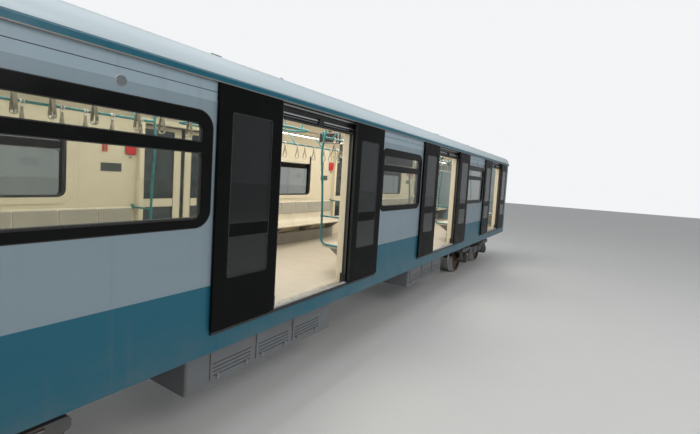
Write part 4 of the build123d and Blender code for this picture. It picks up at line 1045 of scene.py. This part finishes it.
def addDoorCovers():
    heads, edges, sills, lamps = newMeshes(4)
    inner, half, reach, radius = car["innerY"], car["doorway"] / 2, cover["edgeReach"], cover["lampRadius"]
    face, low, high = inner - cover["depth"], cover["low"], cover["high"]
    shape = [(inner + 0.004, low), (face + 0.012, low), (face + 0.003, low + 0.004), (face, low + 0.014),
             (face, high), (inner + 0.004, high)]
    depths = (cover["edgeFace"], car["sideY"] + cover["edgeRise"])
    for sign, centre in product(both, car["doorCentres"]):
        # The black strips on the outer face beside and above the doorway are painted shade of the gap between
        # the doorway edge and the open leaf
        for hand in both:
            addBlock(edges, (centre + hand * half, centre + hand * reach), depths, cover["postZ"], sign)
        addBlock(edges, around(centre, half), depths, cover["headZ"], sign)
        addBlock(sills, around(centre, reach), depths, cover["sillZ"], sign)
        skin(heads, [[heads.verts.new((x, sign * y, z)) for y, z in shape]
                     for x in around(centre, half + cover["width"])])
        addLathe(lamps, [(radius * 1.3, 0), (radius * 1.3, 0.003), (radius, 0.005), (radius * 0.7, 0.009),
                         (0, 0.011)], (centre, sign * face, (low + high) / 2), (0, -sign, 0), 24)
    addPiece("doorHeads", heads, "creamPanel", 0.002)
    addPiece("doorwayEdgeShade", edges, "gapShadeBlack")
    addPiece("sillEdges", sills, "sillMetal")
    addPiece("doorLamps", lamps, "amberLens")


# Light profiles, ceiling domes, and the frames and casings of the displays
fitting = {"lightY": (0.83, 0.94), "lightZ": (3.329, 3.346), "lightReach": 8.64, "profile": 0.006,
           "joints": 5, "jointPitch": 1.44, "jointHalf": 0.009, "domeX": (-4.72, 4.72), "domeShift": 0.9,
           "noticeX": 0.9, "noticeY": 0.4, "noticeSize": (0.38, 0.165), "noticeLow": 3.110,
           "noticeDepth": 0.07, "showX": 0.115, "showSize": (1.09, 0.2), "showLow": 2.818,
           "showFace": 1.295, "casingGrow": (0.01, 0.085), "casingRise": 0.035, "casingDepth": 0.028}


def addCeilingFittings():
    profiles, domes, bezels, casings = newMeshes(4)
    (low, high), (inner, outer) = fitting["lightZ"], fitting["lightY"]
    reach, thick, joint = fitting["lightReach"], fitting["profile"], fitting["jointHalf"]
    wall = car["innerY"]
    for sign in both:
        for ys in ((inner - thick, inner), (outer, outer + thick)):
            addBlock(profiles, (-reach, reach), ys, (low, high), sign)
        for hand in both:
            addBlock(profiles, (hand * reach, hand * (reach + 0.012)), (inner - thick, outer + thick),
                     (low, high), sign)
        for i in range(-fitting["joints"], fitting["joints"] + 1):
            addBlock(profiles, around(i * fitting["jointPitch"], joint), (inner - 0.004, outer + 0.004),
                     (low - 0.001, high), sign)
        for x in fitting["domeX"]:
            addLathe(domes, [(0.062, 0), (0.064, 0.008), (0.052, 0.016), (0.048, 0.017), (0.046, 0.030),
                             (0.034, 0.045), (0.018, 0.054), (0, 0.057)],
                     (x + sign * fitting["domeShift"], 0, car["ceiling"]), (0, 0, -1))
        size = fitting["noticeSize"]
        middle = (sign * fitting["noticeY"], fitting["noticeLow"] + size[1] / 2)
        for hand in both:
            face = sign * fitting["noticeX"] + hand * fitting["noticeDepth"] / 2
            addRim(bezels, middle, size, (0.008, 0.008), (-0.028, 0.005),
                   (face - hand * 0.010, face + hand * 0.005), "X")
        size, face = fitting["showSize"], fitting["showFace"]
        x, z = sign * fitting["showX"], fitting["showLow"] + size[1] / 2
        casing = [length + grow for length, grow in zip(size, fitting["casingGrow"])]
        addSlab(casings, roundedOutline((x, z + fitting["casingRise"]), casing, 0.014, 5),
                (wall - fitting["casingDepth"], wall + 0.003), sign=sign)
        addRim(bezels, (x, z), size, (0.004, 0.006), (-0.030, 0.004), (face - 0.012, face + 0.004),
               sign=sign)
    addPiece("lightProfiles", profiles, "frameMetal", 0.001)
    addPiece("ceilingDomes", domes, "screenBlack")
    addPiece("displayCasings", casings, "creamPanel", 0.005, segments=3)
    addPiece("displayBezels", bezels, "greyPlastic", 0.0015)


# Roof: fan guards, blades and hubs, lid screws, handles and lifting lugs
roofUnit = {"centres": (-4.72, 4.72), "length": 3.4, "fanY": 0.28, "fanRadius": 0.23, "guardZ": 3.779,
            "fanFloor": 3.724, "rings": 7, "spokes": 12, "wire": 0.0028, "blades": 7, "bladeSweep": 0.35,
            "bladePitch": 0.014, "bladeHalf": 0.0012, "crownRadius": 5.681, "topZ": 3.7833,
            "fanScrews": (0.262, 8), "sideScrews": 12, "sideY": 0.715, "endScrews": 6, "endWidth": 1.30,
            "handleX": 1.35, "handleY": 0.64, "handleHalf": 0.07, "handleTop": 3.776,
            "handleBend": 0.016, "handleRadius": 0.006, "lidScrew": (0.009, 0.006)}
lug = {"places": (-8.5, -2.6, 2.6, 8.5), "y": 0.86, "drop": 0.071, "plate": (0.11, 0.075), "half": 0.030,
       "rise": 0.055, "bend": 0.024, "radius": 0.008}


def crownZ(y):
    drop = roofUnit["crownRadius"] - math.sqrt(roofUnit["crownRadius"] ** 2 - y * y)
    return roofUnit["topZ"] - drop


def addFanGuard(bm, x, y):
    radius, z, wire, hub = roofUnit["fanRadius"], roofUnit["guardZ"], roofUnit["wire"], 0.045
    for i in range(roofUnit["rings"]):
        addHoop(bm, (x, y, z), radius * (0.22 + 0.80 * i / (roofUnit["rings"] - 1)), wire, 40, 6)
    for i in range(roofUnit["spokes"]):
        turn = math.tau * i / roofUnit["spokes"]
        ends = [(x + reach * math.cos(turn), y + reach * math.sin(turn), z + 0.002)
                for reach in (hub, 1.06 * radius)]
        addDrum(bm, *ends, wire, 6)
    addLathe(bm, [(0.050, -0.004), (0.050, 0.002), (0.040, 0.006), (0, 0.008)], (x, y, z), (0, 0, 1), 28)


def addFan(bm, x, y):
    floor, half = roofUnit["fanFloor"], roofUnit["bladeHalf"]
    addLathe(bm, [(0.058, -0.001), (0.058, 0.024), (0.048, 0.034), (0.020, 0.038), (0, 0.038)],
             (x, y, floor), (0, 0, 1), 28)
    for i in range(roofUnit["blades"]):
        rings = []
        for share in (0.24, 0.5, 0.75, 0.94):
            radius, chord = share * roofUnit["fanRadius"], 0.030 + 0.055 * share
            swept = math.tau * i / roofUnit["blades"] + roofUnit["bladeSweep"] * share
            ahead = Vector((-math.sin(swept), math.cos(swept), 0))
            middle = Vector((x + radius * math.cos(swept), y + radius * math.sin(swept), floor + 0.022))
            rings.append([bm.verts.new(middle + k * chord * ahead
                                       + Vector((0, 0, k * roofUnit["bladePitch"] + e)))
                          for k, e in ((-1, -half), (1, -half), (1, half), (-1, half))])
        skin(bm, rings)


def addRoofDetails():
    guards, fans, screws, handles, lugs = newMeshes(5)
    up, length = (0, 0, 1), roofUnit["length"]
    for centre in roofUnit["centres"]:
        for hand in both:
            y = hand * roofUnit["fanY"]
            addFanGuard(guards, centre, y)
            addFan(fans, centre, y)
            addBoltRing(screws, (centre, y, crownZ(y)), up, *roofUnit["fanScrews"], 0.006, 0.004, 0.39)
            for i in range(roofUnit["sideScrews"]):
                x = centre + (i / (roofUnit["sideScrews"] - 1) - 0.5) * (length - 0.08)
                y = hand * roofUnit["sideY"]
                addBolt(screws, (x, y, crownZ(y)), up, *roofUnit["lidScrew"])
            y, half = hand * roofUnit["handleY"], roofUnit["handleHalf"]
            for x in around(centre, roofUnit["handleX"]):
                feet, tops = ([(at, y, z) for at in around(x, half)]
                              for z in (crownZ(y), roofUnit["handleTop"]))
                addStaple(handles, feet, tops, roofUnit["handleBend"], roofUnit["handleRadius"], 10)
        for end, j in product(both, range(roofUnit["endScrews"])):
            y = (j / (roofUnit["endScrews"] - 1) - 0.5) * roofUnit["endWidth"]
            addBolt(screws, (centre + end * (length / 2 - 0.02), y, crownZ(y)), up, *roofUnit["lidScrew"])
    for x, hand in product(lug["places"], both):
        y, half = hand * lug["y"], lug["half"]
        base = crownZ(y) - lug["drop"]
        addSlab(lugs, roundedOutline((x, y), lug["plate"], 0.012, 4), (base - 0.006, base + 0.010), "Z")
        feet, tops = ([(at, y, z) for at in around(x, half)] for z in (base, base + lug["rise"]))
        addStaple(lugs, feet, tops, lug["bend"], lug["radius"], 10)
    addPiece("fanGuards", guards, "boltSteel")
    addPiece("fanBlades", fans, "castIron")
    addPiece("lidScrews", screws, "boltSteel")
    addPiece("lidHandles", handles, "boltSteel")
    addPiece("roofLugs", lugs, "roofPaint", 0.002)


# Car ends: handrails, steps, lamps, sockets and the bolts of the gangway frames and drawbars
endFace = {"railY": 1.08, "railZ": (1.45, 2.65), "stand": 0.055, "stepZ": (1.22, 1.34),
           "railBend": (0.035, 0.014), "stepBend": (0.03, 0.010),  # radius of the bend and of the tube
           "stepHalf": 0.10, "lampZ": 3.28, "lampY": 0.98, "socketY": 0.95, "socketZ": 1.055,
           "socketSize": (0.26, 0.16), "lidY": 0.065, "screwPlace": (0.115, 0.065), "frameX": 9.305,
           "frameMiddle": 2.134, "frameBolts": 9, "frameEdge": (0.72, 1.056), "frameRun": (0.60, 0.90)}
coupler = {"z": 0.748, "boltX": 9.270, "faceX": 9.3045, "circle": 0.120, "bolts": 8, "bootX": 8.66,
           "bootRadius": 0.0705, "bootFolds": 13, "bootPitch": 0.018}


def addEndDetails():
    rails, lamps, sockets, bolts, lids = newMeshes(5)
    for end, hand in product(both, both):
        x, out, axis = end * car["endX"], end * (car["endX"] + endFace["stand"]), (end, 0, 0)
        y, (low, high) = hand * endFace["railY"], endFace["railZ"]
        feet, tops = ([(at, y, z) for z in (low, high)] for at in (x, out))
        addStaple(rails, feet, tops, *endFace["railBend"], 12)
        for z in (low, high):
            addFlange(rails, (x, y, z), axis, 0.032, 0.007)
        halfStep = hand * endFace["stepHalf"]
        for z in endFace["stepZ"]:
            feet, tops = ([(at, side, z) for side in around(y, halfStep)] for at in (x, out))
            addStaple(rails, feet, tops, *endFace["stepBend"], 10)
        place = (x, hand * endFace["lampY"], endFace["lampZ"])
        addLathe(sockets, [(0.060, -0.002), (0.060, 0.016), (0.052, 0.020), (0.048, 0.014)], place, axis, 36)
        addLathe(lamps, [(0.0485, 0.004), (0.046, 0.014), (0.034, 0.022), (0.016, 0.026), (0, 0.027)],
                 place, axis, 36)
        y, z, face = hand * endFace["socketY"], endFace["socketZ"], x + end * 0.029
        addSlab(sockets, roundedOutline((y, z), endFace["socketSize"], 0.02, 5),
                (x - end * 0.002, x + end * 0.030), "X")
        for lidY in around(y, endFace["lidY"]):
            addLathe(lids, [(0.050, 0), (0.052, 0.012), (0.052, 0.034), (0.044, 0.042), (0, 0.046)],
                     (face, lidY, z), axis)
            addBlock(lids, (face, face + end * 0.030), around(lidY, 0.012), (z + 0.046, z + 0.060))
        halfY, halfZ = endFace["screwPlace"]
        for place in product((face,), around(y, halfY), around(z, halfZ)):
            addBolt(bolts, place, axis, 0.008, 0.006)
    width, height = endFace["frameEdge"]
    for end, i, step in product(both, range(endFace["frameBolts"]), both):
        share = i / (endFace["frameBolts"] - 1) * 2 - 1
        across, up = (share * run for run in endFace["frameRun"])
        for y, rise in ((across, step * height), (step * width, up)):
            addBolt(bolts, (end * endFace["frameX"], y, endFace["frameMiddle"] + rise), (end, 0, 0), 0.009,
                    0.004)
    addPiece("endRails", rails, "frameMetal")
    addPiece("endLamps", lamps, "redLens")
    addPiece("endSockets", sockets, "underPaint", 0.002)
    addPiece("socketLids", lids, "sealRubber", 0.002)
    addPiece("endBolts", bolts, "boltSteel")


def addDrawbarDetails(letter, end):
    bolts, boots = newMeshes(2)
    z, radius = coupler["z"], coupler["bootRadius"]
    for key, facing, *size in (("boltX", -end, 0.016, 0.014), ("faceX", end, 0.009, 0.004)):
        addBoltRing(bolts, (end * coupler[key], 0, z), (facing, 0, 0), coupler["circle"], coupler["bolts"],
                    *size)
    folds = [(radius + (0.020 if i % 2 else 0.002), i * coupler["bootPitch"])
             for i in range(coupler["bootFolds"])]
    addLathe(boots, [(radius, -0.008), *folds, (radius, 0.224)], (end * coupler["bootX"], 0, z), (end, 0, 0),
             36)
    addPiece("drawbarBolts" + letter.upper(), bolts, "boltSteel", body=f"bar_{letter}")
    addPiece("drawbarBoot" + letter.upper(), boots, "sealRubber", body=f"bar_{letter}")


# Under the floor: pipes with clips, case hinges and latches, tank bands
under = {"pipeReach": 5.55, "pipeTop": 0.960, "pipeBend": 0.03,
         "pipes": ((1.092, 0.902, 0.014), (1.140, 0.906, 0.010)),  # y, z and radius
         "joints": (-2.8, 0.0, 2.8), "clipPitch": 0.925, "clipY": (1.068, 1.160), "clipZ": (0.928, 0.932),
         "lids": (  # side, middle x of each lid, low and high z
             (-1, (-3.35, -2.73, -2.11), 0.49, 0.88), (-1, (1.525, 2.145, 2.765), 0.49, 0.88),
             (1, (1.525, 2.145, 2.765), 0.52, 0.88), (1, (-0.6025, 0.0175), 0.56, 0.88)),
         "lidFace": 1.062, "lidHalf": 0.28, "hingeX": (-0.19, 0.19)}
tank = {"spans": ((-3.9, -2.496), (-2.34, -1.404)), "y": 0.70, "z": 0.72, "radius": 0.170,
        "bandInset": 0.26, "bandHalf": 0.025, "bandRise": 0.004, "boltY": 0.062, "boltZ": 0.935,
        "pipeZ": 0.95}


def addPipes(pipes, clips):
    reach, top = under["pipeReach"], under["pipeTop"]
    count = int(reach // under["clipPitch"])
    places = [i * under["clipPitch"] for i in range(-count, count + 1)]
    for sign, (y, z, radius) in product(both, under["pipes"]):
        ends, low = ([(x, sign * y, height) for x in around(0, reach)] for height in (top, z))
        addStaple(pipes, ends, low, under["pipeBend"], radius, 12)
        for x in under["joints"]:
            addCollar(pipes, (x, sign * y, z), (1, 0, 0), radius, radius * 1.5, 0.03, 12)
        for x in places:
            addBlock(clips, around(x, 0.012), around(y, radius + 0.004), (z - radius - 0.003, 0.930), sign)
    for sign, x in product(both, places):
        addBlock(clips, around(x, 0.018), under["clipY"], under["clipZ"], sign)


def addLidFittings(hinges, latches, sign, x, low, high):
    face, axis = under["lidFace"], (0, sign, 0)
    for at in (x + step for step in under["hingeX"]):
        y, z = sign * (face - 0.004), high + 0.004
        addDrum(hinges, (at - 0.035, y, z), (at + 0.035, y, z), 0.008, 12)
        addBlock(hinges, around(at, 0.028), (face - 0.002, face + 0.003), (high - 0.040, high + 0.002), sign)
        for boltX in around(at, 0.016):
            addBolt(hinges, (boltX, sign * (face + 0.003), high - 0.026), axis, 0.005, 0.003)
        addBlock(latches, around(at, 0.016), (face - 0.002, face + 0.010), (low - 0.004, low + 0.050), sign)
        addDrum(latches, (at, sign * face, low + 0.026), (at, sign * (face + 0.017), low + 0.026), 0.010, 14)
    for at, z in product(around(x, under["lidHalf"] - 0.018), (low + 0.10, (low + high) / 2, high - 0.07)):
        addBolt(hinges, (at, sign * face, z), axis, 0.006, 0.004)


def addTankFittings(bands, pipes, low, high):
    y, z, radius, half = tank["y"], tank["z"], tank["radius"], tank["bandHalf"]
    outer = radius + tank["bandRise"]
    for x in (low + tank["bandInset"], high - tank["bandInset"]):
        addLathe(bands, [(radius - 0.001, -half), (outer, -half), (outer, half), (radius - 0.001, half)],
                 (x, y, z), (1, 0, 0), 48)
        for boltY in around(y, tank["boltY"]):
            addBolt(bands, (x, boltY, tank["boltZ"]), (0, 0, -1), 0.012, 0.020)
    middle, base = (low + high) / 2, z - radius
    addLathe(bands, [(0.020, -0.010), (0.020, 0.012), (0.012, 0.016), (0.012, 0.040), (0.016, 0.042),
                     (0.016, 0.060), (0, 0.062)], (middle, y, base), (0, 0, -1), 18)
    addDrum(bands, (middle, y, base - 0.046), (middle + 0.055, y, base - 0.040), 0.005, 10)
    path = [(high - 0.03, y, z), (high + 0.03, y, z), (high + 0.03, y, tank["pipeZ"])]
    addTube(pipes, bentPath(path, 0.025), 0.011, 12)


def addUnderDetails():
    pipes, clips, hinges, latches, bands = newMeshes(5)
    addPipes(pipes, clips)
    for sign, places, low, high in under["lids"]:
        for x in places:
            addLidFittings(hinges, latches, sign, x, low, high)
    for span in tank["spans"]:
        addTankFittings(bands, pipes, *span)
    addPiece("airPipes", pipes, "tankPaint")
    addPiece("pipeClips", clips, "underPaint", 0.001)
    addPiece("caseHinges", hinges, "boltSteel")
    addPiece("caseLatches", latches, "boltSteel", 0.002)
    addPiece("tankBands", bands, "boltSteel")


# Bogies: spring seats, dampers, brake pipes, cover bolts and brake unit fittings
run = {"beamY": 0.98, "springX": 0.215, "boxY": 1.110, "brakeY": 0.766, "brakeX": (0.33, 0.56),
       "brakeZ": 0.600, "boxBottom": 0.414,
       "airSeats": ((0.700, 0.712, 0.250), (0.912, 0.9235, 0.222)),  # low, high, radius
       "airHoops": ((0.760, 0.224), (0.790, 0.2335), (0.826, 0.2315)),  # height, radius
       "airBolts": (0.238, 12), "coverBolts": (0.080, 6), "tubeBolts": (0.045, 6),  # radius, count
       "boxBolts": (0.045, 0.060), "brakeBolts": (0.085, 0.026), "springSeats": (0.474, 0.640),
       "seatRise": 0.010,
       "springHoops": ((0.512, 0.071), (0.545, 0.067), (0.578, 0.064), (0.610, 0.067)),
       "damperX": (0.33, 0.26), "damperZ": (0.640, 0.450), "damperY": 1.098, "damperRadius": 0.026,
       "damperPins": ((1.040, 1.118, 0.013, 16), (1.080, 1.114, 0.024, 20)),  # from y, to y, radius, sides
       "pipeY": (1.070, 1.092), "pipeX": (1.28, 0.78, 0.56), "pipeZ": (0.735, 0.675),
       "clips": ((-1.1, 0.735), (-0.45, 0.675), (0.45, 0.675), (1.1, 0.735)),
       "tubeX": 0.28, "tubeY": (1.098, 1.108), "tubeZ": 0.595}


def addDamper(bm, low, high):
    low, high, radius = Vector(low), Vector(high), run["damperRadius"]
    axis = high - low
    length = axis.length
    addLathe(bm, [(0.016, 0), (0.016, length * 0.12), (radius, length * 0.14), (radius, length * 0.52),
                  (radius * 0.86, length * 0.54), (radius * 0.55, length * 0.545),
                  (radius * 0.55, length * 0.62)], low, axis, 22)
    addLathe(bm, [(radius * 1.2, length * 0.60), (radius * 1.2, length * 0.90), (0.016, length * 0.92),
                  (0.016, length)], low, axis, 22)


def addBogieDetails(letter, end):
    seats, dampers, pipes, bolts, caps = newMeshes(5)
    centre, up = end * bogie["centre"], (0, 0, 1)
    for sign in both:
        y, axis = sign * run["beamY"], (0, sign, 0)
        for low, high, radius in run["airSeats"]:
            addLathe(seats, [(radius - 0.012, 0), (radius, 0.003), (radius, high - low - 0.003),
                             (radius - 0.012, high - low)], (centre, y, low), up, 48)
        for z, radius in run["airHoops"]:
            addHoop(caps, (centre, y, z), radius, 0.005, 56, 8)
        addBoltRing(bolts, (centre, y, run["airSeats"][0][1]), up, *run["airBolts"], 0.006, 0.006)
        for hand in both:
            axleX = centre + hand * bogie["wheelBase"] / 2
            for x in around(axleX, run["springX"]):
                for z in run["springSeats"]:
                    rise = run["seatRise"]
                    addLathe(seats, [(0.060, 0), (0.080, 0.001), (0.080, rise - 0.001), (0.060, rise)],
                             (x, y, z), up)
                for z, radius in run["springHoops"]:
                    addHoop(seats, (x, y, z), radius, 0.0045, 32, 6)
                addBoltRect(bolts, (x, y, run["boxBottom"]), run["boxBolts"], (0, 0, -1), 0.010, 0.010)
            place = (axleX, sign * run["boxY"], bogie["axleZ"])
            addBoltRing(bolts, place, axis, *run["coverBolts"], 0.010, 0.008, 0.26)
            addLathe(caps, [(0.046, -0.001), (0.046, 0.012), (0.036, 0.018), (0.014, 0.019), (0.012, 0.014),
                            (0, 0.014)], place, axis, 28)
            top, foot = ((axleX - hand * x, sign * run["damperY"], z)
                         for x, z in zip(run["damperX"], run["damperZ"]))
            addDamper(dampers, foot, top)
            for (x, _, z), (start, stop, radius, sides) in product((top, foot), run["damperPins"]):
                addDrum(dampers, (x, sign * start, z), (x, sign * stop, z), radius, sides)
            place = (centre + hand * sum(run["brakeX"]) / 2, sign * run["brakeY"], run["brakeZ"])
            addLathe(caps, [(0.062, -0.002), (0.062, 0.030), (0.052, 0.040), (0.020, 0.042), (0, 0.042)],
                     place, up)
            addBoltRect(bolts, place, run["brakeBolts"], up, 0.008, 0.008)
            tube = (centre + hand * run["tubeX"], sign * run["tubeY"][0], run["tubeZ"])
            addLathe(caps, [(0.072, -0.001), (0.072, 0.006), (0.060, 0.010), (0, 0.010)], tube, axis, 40)
            addBoltRing(bolts, (tube[0], sign * run["tubeY"][1], tube[2]), axis, *run["tubeBolts"], 0.007,
                        0.006)
        (inner, outer), (high, low) = (sign * edge for edge in run["pipeY"]), run["pipeZ"]
        far, mid, near = run["pipeX"]
        route = [(-far, inner, high), (-far, outer, high), (-mid, outer, high), (-near, outer, low),
                 (near, outer, low), (mid, outer, high), (far, outer, high), (far, inner, high)]
        addTube(pipes, bentPath([(centre + dx, y, z) for dx, y, z in route], 0.010, 4), 0.008, 10)
        for dx, z in run["clips"]:
            addBlock(pipes, around(centre + dx, 0.014), (1.078, 1.104), around(z, 0.014), sign)
    body, tag = f"bogie_{letter}", letter.upper()
    addPiece("springSeats" + tag, seats, "boltSteel", body=body)
    addPiece("bogieDampers" + tag, dampers, "tankPaint", 0.001, body)
    addPiece("bogiePipes" + tag, pipes, "boltSteel", body=body)
    addPiece("bogieBolts" + tag, bolts, "boltSteel", body=body)
    addPiece("bogieCaps" + tag, caps, "bogiePaint", 0.001, body)


addDoorCovers()
addCeilingFittings()
addRoofDetails()
addEndDetails()
for letter, end in endNames.items():
    addDrawbarDetails(letter, end)
addUnderDetails()
for letter, end in endNames.items():
    addBogieDetails(letter, end)
print("roof, end, underfloor and bogie details made")

# Light, floor and background
studio = {"worldColour": (0.93, 0.95, 0.97), "worldStrength": 0.42, "backdrop": (0.90, 0.91, 0.92),
          "floorHalf": 60, "floorZ": -0.001,
          "lamps": [  # name, place, aim, size, watts, colour
              ("key", (-4, -13, 9), (0, 0, 1.5), 8, 520, (1.0, 0.98, 0.95)),
              ("fill", (4, 12, 8), (0, 0, 1.5), 8, 300, (0.95, 0.98, 1.0)),
              ("top", (0, 0, 14), (0, 0, 0), 12, 420, (1, 1, 1))],
          "cabinX": (-6.6, -2.2, 2.2, 6.6), "cabinZ": 3.30, "cabinSize": (4.0, 1.6), "cabinWatts": 46,
          "cabinColour": (1.0, 0.96, 0.88)}


def addBackdrop():
    world = bpy.data.worlds.new("studio")
    scene.world = world
    world.use_nodes = True
    tree = world.node_tree
    back = tree.nodes["Background"]
    back.inputs["Color"].default_value = (*studio["worldColour"], 1)
    back.inputs["Strength"].default_value = studio["worldStrength"]
    seen = tree.nodes.new("ShaderNodeBackground")
    seen.inputs["Color"].default_value = (*studio["backdrop"], 1)
    path = tree.nodes.new("ShaderNodeLightPath")
    join = tree.nodes.new("ShaderNodeMixShader")
    for index, output in enumerate((path.outputs["Is Camera Ray"], back.outputs[0], seen.outputs[0])):
        tree.links.new(output, join.inputs[index])
    tree.links.new(join.outputs[0], tree.nodes["World Output"].inputs[0])


def addFloor():
    bm = bmesh.new()
    bmesh.ops.create_grid(bm, x_segments=1, y_segments=1, size=studio["floorHalf"])
    mesh = bpy.data.meshes.new("studioFloor")
    bm.to_mesh(mesh)
    bm.free()
    floor = bpy.data.objects.new("studioFloor", mesh)
    floor.location.z = studio["floorZ"]
    mesh.materials.append(finishes["studioFloor"])
    scene.collection.objects.link(floor)


def addLamp(name, place, size, watts, colour):
    lamp = bpy.data.lights.new(name, "AREA")
    lamp.size = size
    lamp.energy = watts
    lamp.color = colour
    holder = bpy.data.objects.new(name, lamp)
    holder.location = place
    scene.collection.objects.link(holder)
    return holder


def addLamps():
    for name, place, aim, size, watts, colour in studio["lamps"]:
        holder = addLamp(name, place, size, watts, colour)
        holder.rotation_euler = (Vector(aim) - Vector(place)).to_track_quat("-Z", "Y").to_euler()
    length, width = studio["cabinSize"]
    for x in studio["cabinX"]:
        holder = addLamp("cabin", (x, 0, studio["cabinZ"]), length, studio["cabinWatts"],
                         studio["cabinColour"])
        holder.data.shape = "RECTANGLE"
        holder.data.size_y = width


addBackdrop()
addFloor()
addLamps()
scene.view_settings.view_transform = "Standard"
print("studio made")
